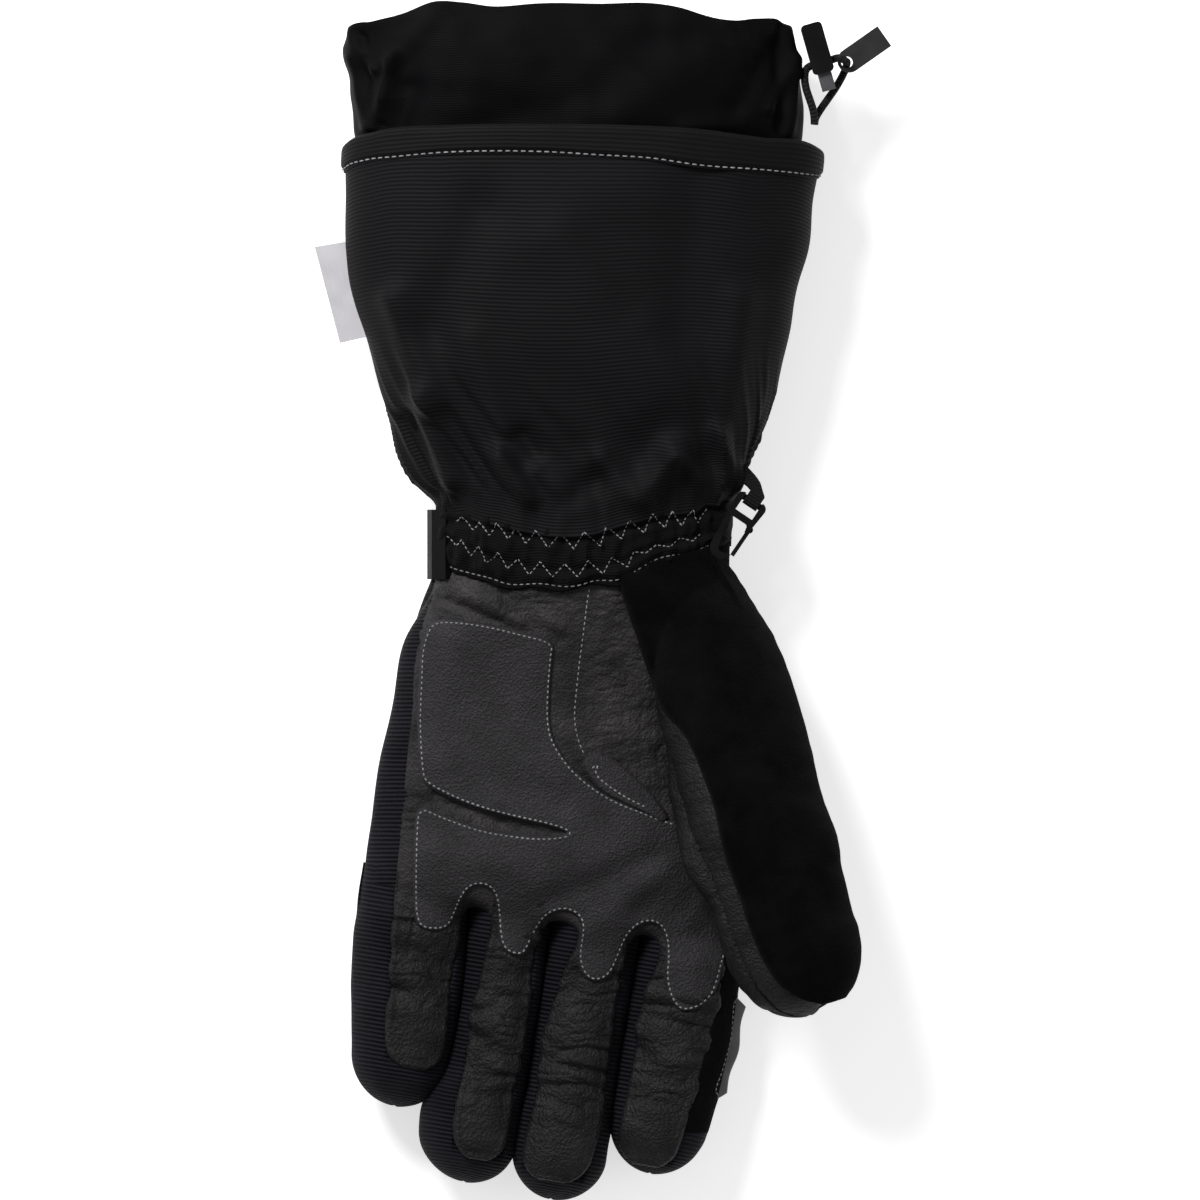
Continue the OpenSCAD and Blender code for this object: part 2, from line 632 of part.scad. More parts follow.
module cord_lock_spring() color("#9a9a9a") at_lock() {
    turns = 4;
    low = -lock_len / 2 + button_len - button_out + 0.1;
    top = -lock_len / 2 + socket - 0.1;
    steps = turns * 8;
    wire = 0.25;
    coil_r = 1.3;
    points = [
        for (k = [0 : steps])
            let (a = 360 * k / 8)
            for (q = [0 : 3])
                let (r = coil_r + wire * cos(90 * q))
                [
                    r * cos(a), low + wire + (top - low - 2 * wire) * k / steps + wire * sin(90 * q),
                    r * sin(a)
                ]
    ];
    faces = concat(
        [[3, 2, 1, 0], [for (q = [0 : 3]) steps * 4 + q]],
        flat([
            for (k = [0 : steps - 1])
                for (q = [0 : 3])
                    tri2(k * 4 + q, k * 4 + (q + 1) % 4, (k + 1) * 4 + (q + 1) % 4, (k + 1) * 4 + q)
        ])
    );
    polyhedron(points, faces, convexity = 8);
}

// The cord's route from the hem's edge, in round numbers: up from the rim, through the pull tab's
// eyelet, back through the lock's hole, and down to the rim again.
cord_route = [
    [-1.3, 0.3, 1], [-1.1, 2.4, 0.8], [0.9, 5.6, 0.1], [3.3, 9, -0.7], [5.7, 12.4, -1.5],
    [7.7, 15.8, -2.2], [9.1, 18.8, -2.4], [9.5, 20.6, -1.2], [9.5, 21, 1], [9.5, 21, 3.6],
    [9.4, 21.1, 6], [8.5, 21.7, 7.4], [7.2, 22.3, 7], [6.2, 22.4, 5.7], [4.8, 21.9, 4.6],
    [3, 21.4, 4.6], [1, 20.8, 4.6], [-1.1, 20.2, 4.6], [-3.1, 19.6, 4.6], [-4.4, 18.3, 5],
    [-4.7, 15.8, 5.7], [-4.3, 12.6, 6.3], [-3.2, 9.3, 6.5], [-2, 6, 6.3], [-1.4, 3, 5.8],
    [-1.3, 0.3, 5.6]
];
module tube_along(route, r, sides = 8) {
    last = len(route) - 1;
    rings = [
        for (k = [0 : last])
            let (
                d = route[min(last, k + 1)] - route[max(0, k - 1)],
                t = d / norm(d),
                up = [0, 0, 1],
                side = cross(t, up) / norm(cross(t, up)),
                over = cross(side, t)
            )
            [for (q = [0 : sides - 1])
                let (a = 360 * q / sides) route[k] + r * cos(a) * side + r * sin(a) * over]
    ];
    limb_solid(rings);
}
module drawcord() color("#101010") tube_along([for (c = cord_route) rim_at + c], cord_d / 2);

pull_at = rim_at + [9.5, 21, 1.8];         // where the cord goes through the pull tab's eyelet
pull_turn = 35;
pull_end = 3;                          // from the eyelet to the tab's near end
module cord_pull() color("#2c2c2e") translate(pull_at) rotate([0, 0, pull_turn]) {
    difference() {
        union() {
            translate([-pull_end + pull_w / 2, 0, -2]) cylinder(r = pull_w / 2, h = 4, $fn = 48);
            translate([-pull_end + pull_w / 2, -pull_w / 2, -2])
                cube([pull_len - pull_w / 2, pull_w, 4]);
        }
        translate([pull_end, -pull_w / 2 - 1, -0.7]) cube([pull_len, pull_w + 2, 1.4]);
        cylinder(r = cord_d / 2 + 0.65, h = 6, center = true, $fn = 48);
    }
}

/* ---- every node ---- */

palm_leather();
palm_patch();
thumb_crotch_patch();
back_softshell();
outer_side_gusset();
index_side_gusset();
hand_insulation();
hand_lining();
finger_base_leather();
finger_base_fourchettes();
finger_base_lining();
names = ["little", "ring", "middle", "index"];
for (i = [little : index]) {
    color("#2e2c2e") fingertip(i, 0, shell_t, leather_facet, false);
    color("#1f2026") fingertip(i, 0, shell_t, softshell_facet, true);
    color("#d8d8d4") fingertip(i, fill_in, fill_end, everywhere, true);
    color("#3a3a3e") fingertip(i, lining_in, wall, everywhere, true);
    finger_bend(i);
}
index_side_panel();
index_rubber_guard();
thumb_base_suede();
thumb_base_lining();
thumb_bend();
thumb_suede();
thumb_leather();
thumb_insulation();
thumb_lining();
wrist_elastic_band();
wrist_strap();
strap_tab();
gauntlet_shell();
gauntlet_lining();
gauntlet_hem();
snow_cuff();
snow_cuff_hem();
label();
hook_webbing();
hook_body();
hook_gate();
drawcord();
cord_lock_body();
cord_lock_button();
cord_lock_spring();
cord_pull();
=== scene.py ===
# %% [markdown]
# # A ski glove with a long gauntlet
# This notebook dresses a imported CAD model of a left-hand ski glove. It lies on its back, palm up,
# with the fingers towards -Y and the cuff towards +Y. The CAD model fixes the sizes and the joints.
# Here each layer of cloth and leather gets its real surface.

# %% Open the frame
import bpy
import numpy as np
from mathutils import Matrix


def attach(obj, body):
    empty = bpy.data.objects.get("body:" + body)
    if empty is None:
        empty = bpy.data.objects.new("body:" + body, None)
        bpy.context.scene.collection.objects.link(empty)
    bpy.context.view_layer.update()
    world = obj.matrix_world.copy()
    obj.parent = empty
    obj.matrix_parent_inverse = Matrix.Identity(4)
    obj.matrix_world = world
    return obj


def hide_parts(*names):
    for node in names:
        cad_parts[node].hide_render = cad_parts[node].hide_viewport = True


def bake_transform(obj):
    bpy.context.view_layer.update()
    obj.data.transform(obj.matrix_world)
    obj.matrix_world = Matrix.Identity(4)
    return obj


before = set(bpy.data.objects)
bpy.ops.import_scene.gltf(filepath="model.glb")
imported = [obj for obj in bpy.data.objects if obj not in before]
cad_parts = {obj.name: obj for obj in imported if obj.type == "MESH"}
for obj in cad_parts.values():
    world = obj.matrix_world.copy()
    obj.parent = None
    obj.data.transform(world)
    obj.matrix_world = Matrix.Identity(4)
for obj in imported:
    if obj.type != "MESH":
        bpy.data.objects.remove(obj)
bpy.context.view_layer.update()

scene = bpy.context.scene
scene.view_settings.view_transform = "Standard"

# %% [markdown]
# ## The camera
# The photograph looks straight down with hardly any perspective, so the camera is far away with a
# long lens. Its frame is 0.4 m wide at the glove's height, which makes 3 pixels of the photograph
# one millimetre. That gives a ruler: a place seen in the photograph can be written in pixels.

# %% The camera and the ruler
PHOTO_MIDDLE = 600           # pixels, across and down
PIXELS_PER_MM = 3
CAMERA_FAR = 8.0             # metres above the glove
GLOVE_HEIGHT = 0.02
FRAME_WIDTH = 2 * PHOTO_MIDDLE / PIXELS_PER_MM / 1000

lens = bpy.data.cameras.new("photo_camera")
lens.sensor_width = 36
lens.lens = lens.sensor_width * CAMERA_FAR / FRAME_WIDTH
camera = bpy.data.objects.new("photo_camera", lens)
camera.location = (0, 0, GLOVE_HEIGHT + CAMERA_FAR)
scene.collection.objects.link(camera)
scene.camera = camera


def seen(pixels):
    """Photograph pixels (u, v) as millimetres (x, y): x = (u - 600) / 3 and y = (600 - v) / 3."""
    uv = np.asarray(pixels, float)
    return np.stack([uv[..., 0] - PHOTO_MIDDLE, PHOTO_MIDDLE - uv[..., 1]], -1) / PIXELS_PER_MM


print("the frame is", FRAME_WIDTH, "m wide through a lens of", round(lens.lens), "mm")

# %% [markdown]
# ## Small tools for curves
# Most edges of the glove are smooth curves through a few measured places. One cubic reads a table
# between its rows, one walk spaces points evenly along a path, and one lattice of random heights
# gives the slow unevenness that cloth and leather have.

# %% Reading tables and paths
def step(low, high, t):
    """0 below low, 1 above high, and 3t^2 - 2t^3 in between."""
    t = np.clip((t - low) / (high - low), 0, 1)
    return t * t * (3 - 2 * t)


def read(table, at):
    """A table's columns at a place, by the Hermite cubic whose slopes are central differences."""
    table = np.asarray(table, float)
    table = table[np.argsort(table[:, 0])]
    knots, values = table[:, 0], table[:, 1:]
    slopes = np.gradient(values, knots, axis=0)
    at = np.clip(at, knots[0], knots[-1])
    i = np.clip(np.searchsorted(knots, at) - 1, 0, len(knots) - 2)
    gap = (knots[i + 1] - knots[i])[..., None]
    t = (at - knots[i])[..., None] / gap
    out = (
        (2 * t**3 - 3 * t**2 + 1) * values[i] + (t**3 - 2 * t**2 + t) * gap * slopes[i]
        + (3 * t**2 - 2 * t**3) * values[i + 1] + (t**3 - t**2) * gap * slopes[i + 1]
    )
    return [out[..., k] for k in range(out.shape[-1])]


def walk(points, gap, closed=False, round_off=2):
    """Evenly spaced points on a path, after its corners are cut by quarters round_off times."""
    p = np.asarray(points, float)
    if closed:
        p = np.concatenate([p, p[:1]])
    for _ in range(round_off):
        inner = np.stack([0.75 * p[:-1] + 0.25 * p[1:], 0.25 * p[:-1] + 0.75 * p[1:]], 1)
        inner = inner.reshape(-1, p.shape[1])
        p = np.concatenate([inner, inner[:1]]) if closed else np.concatenate([p[:1], inner, p[-1:]])
    reach = np.concatenate([[0], np.cumsum(np.linalg.norm(np.diff(p, axis=0), axis=1))])
    places = np.linspace(0, reach[-1], max(2, int(round(reach[-1] / gap)) + 1))
    return np.stack([np.interp(places, reach, p[:, k]) for k in range(p.shape[1])], 1)


LATTICE = 64                     # random heights each way, after which they repeat


def uneven(x, y, size, seed):
    """Value noise, about -1 to 1: random heights on a lattice of that size, joined smoothly."""
    heights = np.random.default_rng(seed).uniform(-1, 1, (LATTICE, LATTICE))
    u, v = np.asarray(x) / size, np.asarray(y) / size
    i, j = np.floor(u).astype(int), np.floor(v).astype(int)
    f, g = step(0, 1, u - i), step(0, 1, v - j)
    i, j, i1, j1 = i % LATTICE, j % LATTICE, (i + 1) % LATTICE, (j + 1) % LATTICE
    low = heights[i, j] * (1 - f) + heights[i1, j] * f
    high = heights[i, j1] * (1 - f) + heights[i1, j1] * f
    return low * (1 - g) + high * g


def creased(along, across, pitch, seed, width):
    """Leather creases, from -1 in a groove to 0: narrow valleys where slow noise crosses zero."""
    sway = 0.45 * pitch * uneven(across, along, 2.2 * pitch, seed + 7)
    n = uneven(across / 2.6 + sway / 3, along + sway, pitch, seed)
    return -np.exp(-((n / width) ** 2))


print("a crease's depth at the origin:", float(np.round(creased(0.0, 0.0, 4, 1, 0.3), 3)))

# %% [markdown]
# ## Making a piece
# Every soft piece is a grid of points: rows run towards the fingertips, and columns run from the
# thumb's side over the palm to the little finger's side. A second grid, one thickness below the
# first, gives it a wall, and the two are joined round their rims, so no cloth is a bare film.

# %% Outward directions, and the cloth laid flat
def facing(grid, ring=False):
    """Outward directions of a grid: the cross product of its column and row differences."""
    if ring:
        wide = np.concatenate([grid[:, -1:], grid, grid[:, :1]], 1)
        across = wide[:, 2:] - wide[:, :-2]
    else:
        across = np.gradient(grid, axis=1)
    n = np.cross(across, np.gradient(grid, axis=0))
    return n / np.maximum(np.linalg.norm(n, axis=2, keepdims=True), 1e-9)


def lifted(grid, lift, ring=False):
    """The grid moved outwards: p + lift n, with n its outward direction."""
    return grid + facing(grid, ring) * lift[..., None]


def flat_map(grid, ring=False):
    """How far each point lies across and along the cloth, in metres, as for an unrolled pattern."""
    if ring:
        grid = np.concatenate([grid, grid[:, :1]], 1)
    across = np.cumsum(np.linalg.norm(np.diff(grid, axis=1, prepend=grid[:, :1]), axis=2), 1)
    across = across - across[:, across.shape[1] // 2][:, None]
    along = np.cumsum(np.linalg.norm(np.diff(grid, axis=0, prepend=grid[:1]), axis=2), 0)
    middle = along[:, along.shape[1] // 2][:, None]
    return np.stack([across, np.broadcast_to(middle, across.shape)], 2) / 1000


x, y = np.meshgrid(-np.arange(3.0), -np.arange(3.0))
print("a level sheet faces", facing(np.stack([x, y, 0 * x], 2))[1, 1].tolist())

# %% A wall from a grid
SHARP_FROM = np.radians(55)      # steeper edges than this aren't smoothed, such as a wall's rim


def mesh_piece(name, corners, faces, material, spread=None):
    """Puts millimetre points and faces into one object, with its flat map as UVs."""
    mesh = bpy.data.meshes.new(name)
    mesh.from_pydata((corners / 1000).tolist(), [], faces)
    if spread is not None:
        mesh.uv_layers.new(name="flat_map").data.foreach_set("uv", np.asarray(spread).ravel())
    mesh.polygons.foreach_set("use_smooth", [True] * len(mesh.polygons))
    mesh.set_sharp_from_angle(angle=SHARP_FROM)
    mesh.update()
    piece = bpy.data.objects.new(name, mesh)
    piece.data.materials.append(material)
    scene.collection.objects.link(piece)
    return piece


def cloth(name, grid, material, thick, ring=False, pole=False, keep=None):
    """A wall of that thickness under a grid. ring joins its first and last columns, pole closes a
    ring's last row, and keep says which cells are made."""
    rows, cols = grid.shape[:2]
    under = grid - facing(grid, ring) * thick
    spread = flat_map(grid, ring)
    i, j = np.meshgrid(np.arange(rows - 1), np.arange(cols if ring else cols - 1), indexing="ij")
    keep = np.ones(i.shape, bool) if keep is None else keep
    i, j = i[keep], j[keep]
    over = lambda r, c: r * cols + c % cols
    low = rows * cols
    quads = [over(i, j), over(i, j + 1), over(i + 1, j + 1), over(i + 1, j)]
    spots = [(i, j), (i, j + 1), (i + 1, j + 1), (i + 1, j)]
    faces = [np.stack(quads, 1), np.stack(quads[::-1], 1) + low]
    maps = [np.stack([spread[r, c] for r, c in spots], 1)]
    maps.append(maps[0][:, ::-1])
    made = np.pad(keep, 1)
    if ring:
        made[1:-1, 0], made[1:-1, -1] = keep[:, -1], keep[:, 0]
    sides = {(-1, 0): (0, 1), (0, 1): (1, 2), (1, 0): (2, 3), (0, -1): (3, 0)}
    for (dr, dc), (a, b) in sides.items():      # a rim wherever the next cell isn't made
        edge = ~made[1 + i + dr, 1 + j + dc]
        if pole and dr == 1:
            edge &= i < rows - 2
        faces.append(np.stack([quads[b], quads[a], quads[a] + low, quads[b] + low], 1)[edge])
        pair = [spread[spots[k][0], spots[k][1]] for k in (b, a, a, b)]
        maps.append(np.stack(pair, 1)[edge])
    faces, maps = np.concatenate(faces), np.concatenate(maps)
    corners = np.concatenate([grid.reshape(-1, 3), under.reshape(-1, 3)])
    faces, maps = faces.tolist(), maps.reshape(-1, 2).tolist()
    if pole:
        corners = np.concatenate([corners, grid[-1].mean(0)[None], under[-1].mean(0)[None]])
        c = np.arange(cols)
        here = low - cols + c
        after, tip = low - cols + (c + 1) % cols, np.full(cols, 2 * low)
        fans = np.stack([here, after, tip, low + after, low + here, tip + 1], 1)
        faces += fans.reshape(-1, 3).tolist()
        a, b = spread[-1, c], spread[-1, c + 1]
        maps += np.stack([a, b, a, b, a, a], 1).reshape(-1, 2).tolist()
    used = np.unique(np.concatenate([np.asarray(f) for f in faces]))
    fresh = np.full(len(corners), -1)
    fresh[used] = np.arange(len(used))
    return mesh_piece(name, corners[used], [fresh[f].tolist() for f in faces], material, maps)


print("edges steeper than", round(np.degrees(SHARP_FROM)), "degrees stay sharp")

# %% What a piece stands for
def stands_for(piece, slot, *nodes, joint=None):
    """Bakes the piece's placement into its mesh when a joint is given, or else attaches it to the hand,
    and hides its CAD nodes. slot is not used.
    """
    if joint:
        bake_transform(piece)
    else:
        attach(piece, "hand")
    if nodes:
        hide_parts(*nodes)
    return piece


# %% [markdown]
# ## Threads
# The light grey seams are rows of single stitches. Each stitch is a small bead: four rings of five
# points, thin at both ends, which dips into the leather there. One array of beads makes a seam.

# %% Seams of single stitches
BEAD_PLACES = np.array([-0.5, -0.3, 0.3, 0.5])
BEAD_GIRTH = np.array([0.4, 1, 1, 0.4])
BEAD_SIDES = 5
FINE_STITCH = {"pitch": 1.8, "dash": 1.2, "girth": 0.26}      # the patch's stitches, in mm


def seam(name, path, upward, material, pitch, dash, girth):
    """One stitch per pitch along a path: each is a bead of length dash laid along the path."""
    gap = pitch / max(1, round(pitch / 0.4))
    reach = np.concatenate([[0], np.cumsum(np.linalg.norm(np.diff(path, axis=0), axis=1))])
    places = np.arange(pitch / 2, reach[-1], pitch)
    at = lambda rows, s: np.stack([np.interp(s, reach, rows[:, k]) for k in range(3)], 1)
    middle, up = at(path, places), at(upward, places)
    run = at(path, places + gap) - at(path, places - gap)
    run /= np.linalg.norm(run, axis=1, keepdims=True)
    up /= np.linalg.norm(up, axis=1, keepdims=True)
    side = np.cross(run, up)
    turn = np.arange(BEAD_SIDES) * 2 * np.pi / BEAD_SIDES
    t, a = np.meshgrid(BEAD_PLACES, turn, indexing="ij")
    r = BEAD_GIRTH[:, None] * girth * np.ones_like(a)
    sink = -1.2 * girth * np.abs(2 * t) ** 3
    beads = (
        middle[:, None, None] + run[:, None, None] * (t * dash)[None, ..., None]
        + side[:, None, None] * (r * np.cos(a))[None, ..., None]
        + up[:, None, None] * (0.7 * r * np.sin(a) + sink)[None, ..., None]
    )
    k, q = [part.ravel() for part in np.meshgrid(np.arange(3), np.arange(BEAD_SIDES), indexing="ij")]
    here, after = k * BEAD_SIDES + q, k * BEAD_SIDES + (q + 1) % BEAD_SIDES
    body = np.stack([here, here + BEAD_SIDES, after + BEAD_SIDES, after], 1)
    first = 4 * BEAD_SIDES * np.arange(len(places))[:, None]
    ring = np.arange(BEAD_SIDES)
    faces = (first[..., None] + body).reshape(-1, 4).tolist() + (first + ring).tolist()
    faces += (first + 3 * BEAD_SIDES + ring[::-1]).tolist()
    return mesh_piece(name, beads.reshape(-1, 3), faces, material)


print("a stitch has", len(BEAD_PLACES) * BEAD_SIDES, "points")

# %% [markdown]
# ## Shader sums
# A finish is a node tree. One small class holds a socket, and the usual signs add Math nodes, so a
# pattern reads like a formula. Its method make() adds any other node.

# %% A socket that can be added and multiplied
class Wire:
    """One socket of a finish. + - and * on it make Math nodes."""

    def __init__(self, tree, socket=None):
        self.tree, self.socket = tree, socket

    def make(self, kind, settings=None, out=0, **inputs):
        """Adds a node: its settings first, then values or links, by socket name or as i0, i1."""
        node = self.tree.nodes.new(kind)
        for key, value in (settings or {}).items():
            setattr(node, key, value)
        for key, value in inputs.items():
            plain = key[0] == "i" and key[1:].isdigit()
            socket = node.inputs[int(key[1:])] if plain else node.inputs[key.replace("_", " ")]
            if isinstance(value, Wire):
                self.tree.links.new(value.socket, socket)
            else:
                socket.default_value = value
        return Wire(self.tree, node.outputs[out])

    def sum(self, operation, a, b=0.0):
        """One Math node."""
        return self.make("ShaderNodeMath", {"operation": operation}, i0=a, i1=b)

    def __add__(self, other):
        return self.sum("ADD", self, other)

    def __sub__(self, other):
        return self.sum("SUBTRACT", self, other)

    def __rsub__(self, other):
        return self.sum("SUBTRACT", other, self)

    def __mul__(self, other):
        return self.sum("MULTIPLY", self, other)

    __radd__, __rmul__ = __add__, __mul__


print("a wire can be added, subtracted and multiplied")

# %% Colours and empty finishes
def shade(red, green, blue):
    """A screen colour of 0 to 255 as the linear colour that a shader takes."""
    c = np.array([red, green, blue]) / 255
    linear = np.where(c <= 0.04045, c / 12.92, ((c + 0.055) / 1.055) ** 2.4)
    return (*linear.tolist(), 1)


def finish(name, roughness, specular, **fixed):
    """An empty finish: its material, a wire to start from, and its shader's inputs."""
    material = bpy.data.materials.new(name)
    material.use_nodes = True
    shader = material.node_tree.nodes["Principled BSDF"]
    shader.inputs["Roughness"].default_value = roughness
    shader.inputs["Specular IOR Level"].default_value = specular
    for key, value in fixed.items():
        shader.inputs[key.replace("_", " ")].default_value = value
    return material, Wire(material.node_tree), shader.inputs


def link(wire, socket):
    """Feeds one input of the shader."""
    wire.tree.links.new(wire.socket, socket)


def where(start, on_piece=False):
    """The place on the object in metres, or on the piece's own flat map."""
    return start.make("ShaderNodeTexCoord", out="UV" if on_piece else "Object")


def bump(height, metres):
    """Relief without geometry: a height from 0 to 1 that stands for so many metres."""
    return height.make("ShaderNodeBump", Height=height, Distance=metres, Strength=1.0)


def tinted(start, dark, light, share):
    """A colour between two, by a share from 0 to 1."""
    return start.make("ShaderNodeMix", {"data_type": "RGBA"}, out=2, i0=share, i6=dark, i7=light)


print("a mid grey of 128 is", round(shade(128, 128, 128)[0], 3), "in a shader")

# %% [markdown]
# ## Leather
# Goatskin has a fine pebbled grain, darker in its hollows, with soft creases where it folds. The
# grain is cells (Voronoi) blended with noise. It feeds the bump, the colour and the roughness, so
# the hollows are duller. The heavier patch leather is the same skin with a crisper, even grain.

# %% Goatskin, patch leather and suede
def leather(name, dark, light, grain_mm, depth, rough, on_piece=False, mottle=1.7):
    """Grain is 0.8 cells + 0.5 fine noise. It and slow clouds set the tone, the gloss and the bump."""
    material, start, to = finish(name, rough, specular=0.25)
    place = where(start, on_piece)
    scale = 1000 / grain_mm
    cells = start.make("ShaderNodeTexVoronoi", {"feature": "SMOOTH_F1"}, Vector=place,
                       Scale=scale, Smoothness=0.6)
    cloud = start.make("ShaderNodeTexNoise", Vector=place, Scale=scale / 14, Detail=4.0)
    fine = start.make("ShaderNodeTexNoise", Vector=place, Scale=scale * 1.7, Detail=2.0)
    grain = cells * 0.8 + fine * 0.5
    tone = start.make("ShaderNodeClamp", Value=(cloud - 0.5) * mottle + grain * 0.5 + 0.1)
    link(tinted(start, dark, light, tone), to["Base Color"])
    link(rough + 0.18 - cloud * 0.3 + grain * 0.06, to["Roughness"])
    link(bump(grain + cloud * 0.9, depth / 1000), to["Normal"])
    return material


goatskin = leather("goatskin", shade(13, 12, 12), shade(52, 49, 50), 0.9, 0.42, 0.56)
finger_skin = leather("finger_skin", shade(2, 2, 2), shade(31, 29, 30), 0.9, 0.5, 0.54, True)
patch_skin = leather("patch_skin", shade(20, 19, 20), shade(56, 53, 56), 0.8, 0.5, 0.58,
                     mottle=0.5)


def suede(name):
    """Suede: short fibres, so it is dull and very dark, with faint brushed patches."""
    material, start, to = finish(name, 0.96, specular=0.03, Sheen_Weight=0.02, Sheen_Roughness=0.6)
    place = where(start, True)
    nap = start.make("ShaderNodeTexNoise", Vector=place, Scale=900.0, Detail=5.0, Roughness=0.7)
    brush = start.make("ShaderNodeTexNoise", Vector=place, Scale=70.0, Detail=4.0)
    tone = start.make("ShaderNodeClamp", Value=brush * 1.6 - 0.7 + nap * 0.6)
    link(tinted(start, shade(1, 1, 1), shade(14, 14, 14), tone), to["Base Color"])
    link(bump(nap + brush * 1.4, 0.0006), to["Normal"])
    return material


black_suede = suede("black_suede")
print("made", goatskin.name, patch_skin.name, black_suede.name)

# %% [markdown]
# ## Woven and knitted cloth
# The sides of the fingers are a ribbed softshell: fine cords run round the finger, about 0.9 mm
# apart. The gauntlet is nylon with thinner ribs across it, the snow cuff is plainer and smoother,
# and the band at the wrist is matt. All are sums of sines on the flat map of each piece, so the
# ribs follow the cloth. The cloths differ in rib height, pitch and shine.

# %% Ribbed and woven cloth
def woven(name, dark, light, rib_mm, wale_mm, depth, rough, specular, uneven_scale, rib=0.7):
    """Cloth with ribs every rib_mm along its length and threads every wale_mm across it. Its colour has
    painted shade in the grooves and a painted highlight on the rib tops.
    """
    material, start, to = finish(name, rough, specular)
    place = where(start, True)
    parts = start.make("ShaderNodeSeparateXYZ", Vector=place)
    across, along = parts, Wire(parts.tree, parts.socket.node.outputs[1])
    sway = start.make("ShaderNodeTexNoise", Vector=place, Scale=90.0, Detail=2.0)
    wave = lambda t, pitch: start.sum("SINE", t * (2000 * np.pi / pitch)) * 0.5 + 0.5
    ribs = wave(along + sway * 0.0004, rib_mm)
    threads = wave(across + along * 0.35, wale_mm)
    weave = ribs * rib + threads * ribs * (1 - rib) * 1.5
    cloud = start.make("ShaderNodeTexNoise", Vector=place, Scale=uneven_scale, Detail=4.0)
    # painted shade and highlight: the colour is darker in the rib grooves and lighter on the rib tops,
    # plus random cloudy tone
    tone = start.make("ShaderNodeClamp", Value=weave * 0.8 + cloud * 0.9 - 0.4)
    link(tinted(start, dark, light, tone), to["Base Color"])
    link(rough + 0.08 - weave * 0.14, to["Roughness"])
    link(bump(weave, depth / 1000), to["Normal"])
    return material


softshell = woven("ribbed_softshell", shade(0, 0, 1), shade(37, 36, 46), 1.45, 0.75, 0.8,
                  0.75, 0.15, 60.0)
gauntlet_nylon = woven("gauntlet_nylon", shade(9, 8, 10), shade(18, 16, 19), 1.25, 0.75, 0.13,
                       0.68, 0.12, 24.0, rib=0.75)
hem_nylon = woven("hem_nylon", shade(8, 8, 9), shade(15, 14, 16), 1.25, 0.75, 0.11,
                  0.68, 0.12, 24.0, rib=0.75)
cuff_nylon = woven("cuff_nylon", shade(3, 3, 4), shade(10, 9, 11), 0.5, 0.5, 0.06,
                   0.6, 0.05, 20.0)
band_cloth = woven("band_cloth", shade(5, 5, 6), shade(20, 19, 21), 0.7, 0.5, 0.18,
                   0.8, 0.1, 60.0, rib=0.4)
webbing = woven("webbing", shade(5, 5, 6), shade(26, 26, 28), 1.1, 1.4, 0.3, 0.75, 0.15, 60.0)
satin = woven("satin", shade(182, 180, 184), shade(212, 210, 214), 0.35, 0.3, 0.03, 0.35, 0.5, 40.0)
cord_braid = woven("cord_braid", shade(8, 8, 8), shade(24, 24, 24), 1.3, 1.3, 0.25, 0.8, 0.25, 60.0)


def brushed(name, dark, light, scale, depth):
    """Fleece and wadding: soft lumps of fibre."""
    material, start, to = finish(name, 0.95, specular=0.1, Sheen_Weight=0.2)
    place = where(start, True)
    lumps = start.make("ShaderNodeTexNoise", Vector=place, Scale=scale, Detail=5.0, Roughness=0.65)
    link(tinted(start, dark, light, start.make("ShaderNodeClamp", Value=lumps * 2 - 0.5)),
         to["Base Color"])
    link(bump(lumps, depth / 1000), to["Normal"])
    return material


fleece = brushed("fleece", shade(30, 30, 34), shade(66, 66, 72), 420.0, 0.8)
wadding = brushed("wadding", shade(190, 190, 186), shade(232, 232, 228), 160.0, 1.2)
print("made", softshell.name, gauntlet_nylon.name, cuff_nylon.name, fleece.name)

# %% [markdown]
# ## Plastic, rubber, metal and thread
# The hook, the lock and the tab are moulded black plastic with a faint texture from the mould,
# so noise in the bump is enough. The guard on the index finger is grey rubber. Thread is light
# grey and twisted.

# %% Hard finishes and thread
def moulded(name, dark, light, rough, scale=900.0, depth=0.03, specular=0.5, **fixed):
    """A hard finish: slow smears in its tone and gloss, and fine grit in its bump."""
    material, start, to = finish(name, rough, specular=specular, **fixed)
    place = where(start)
    grit = start.make("ShaderNodeTexNoise", Vector=place, Scale=scale, Detail=3.0)
    smear = start.make("ShaderNodeTexNoise", Vector=place, Scale=120.0, Detail=3.0)
    tone = start.make("ShaderNodeClamp", Value=smear * 1.3 - 0.3 + grit * 0.25)
    link(tinted(start, dark, light, tone), to["Base Color"])
    link(rough - 0.1 + smear * 0.22, to["Roughness"])
    link(bump(grit, depth / 1000), to["Normal"])
    return material


black_plastic = moulded("black_plastic", shade(2, 2, 3), shade(9, 9, 10), 0.45, specular=0.15)
grey_plastic = moulded("grey_plastic", shade(56, 55, 57), shade(78, 77, 80), 0.4, specular=0.35)
tab_plastic = moulded("tab_plastic", shade(2, 2, 3), shade(8, 8, 9), 0.55, specular=0.06)
guard_rubber = moulded("guard_rubber", shade(60, 59, 62), shade(100, 99, 103), 0.5, depth=0.08)
pull_rubber = moulded("pull_rubber", shade(22, 22, 24), shade(42, 42, 44), 0.45, specular=0.35)
spring_steel = moulded("spring_steel", shade(150, 150, 152), shade(186, 186, 188), 0.3, Metallic=1.0)
thread = moulded("thread", shade(104, 104, 107), shade(158, 158, 162), 0.8, scale=2600.0, depth=0.12,
                 specular=0.2)
print("made", black_plastic.name, guard_rubber.name, thread.name)

# %% [markdown]
# ## The drawcord
# A short elastic cord closes the snow cuff. It leaves the hem, runs up through the pull tab's
# eyelet, comes back through the lock's hole and goes down to the hem again, so the glove holds it
# all the way. It is a tube swept along a smooth route. Frames that turn as little as they can
# (each side vector is the last one, made square to the new direction) keep it from twisting.

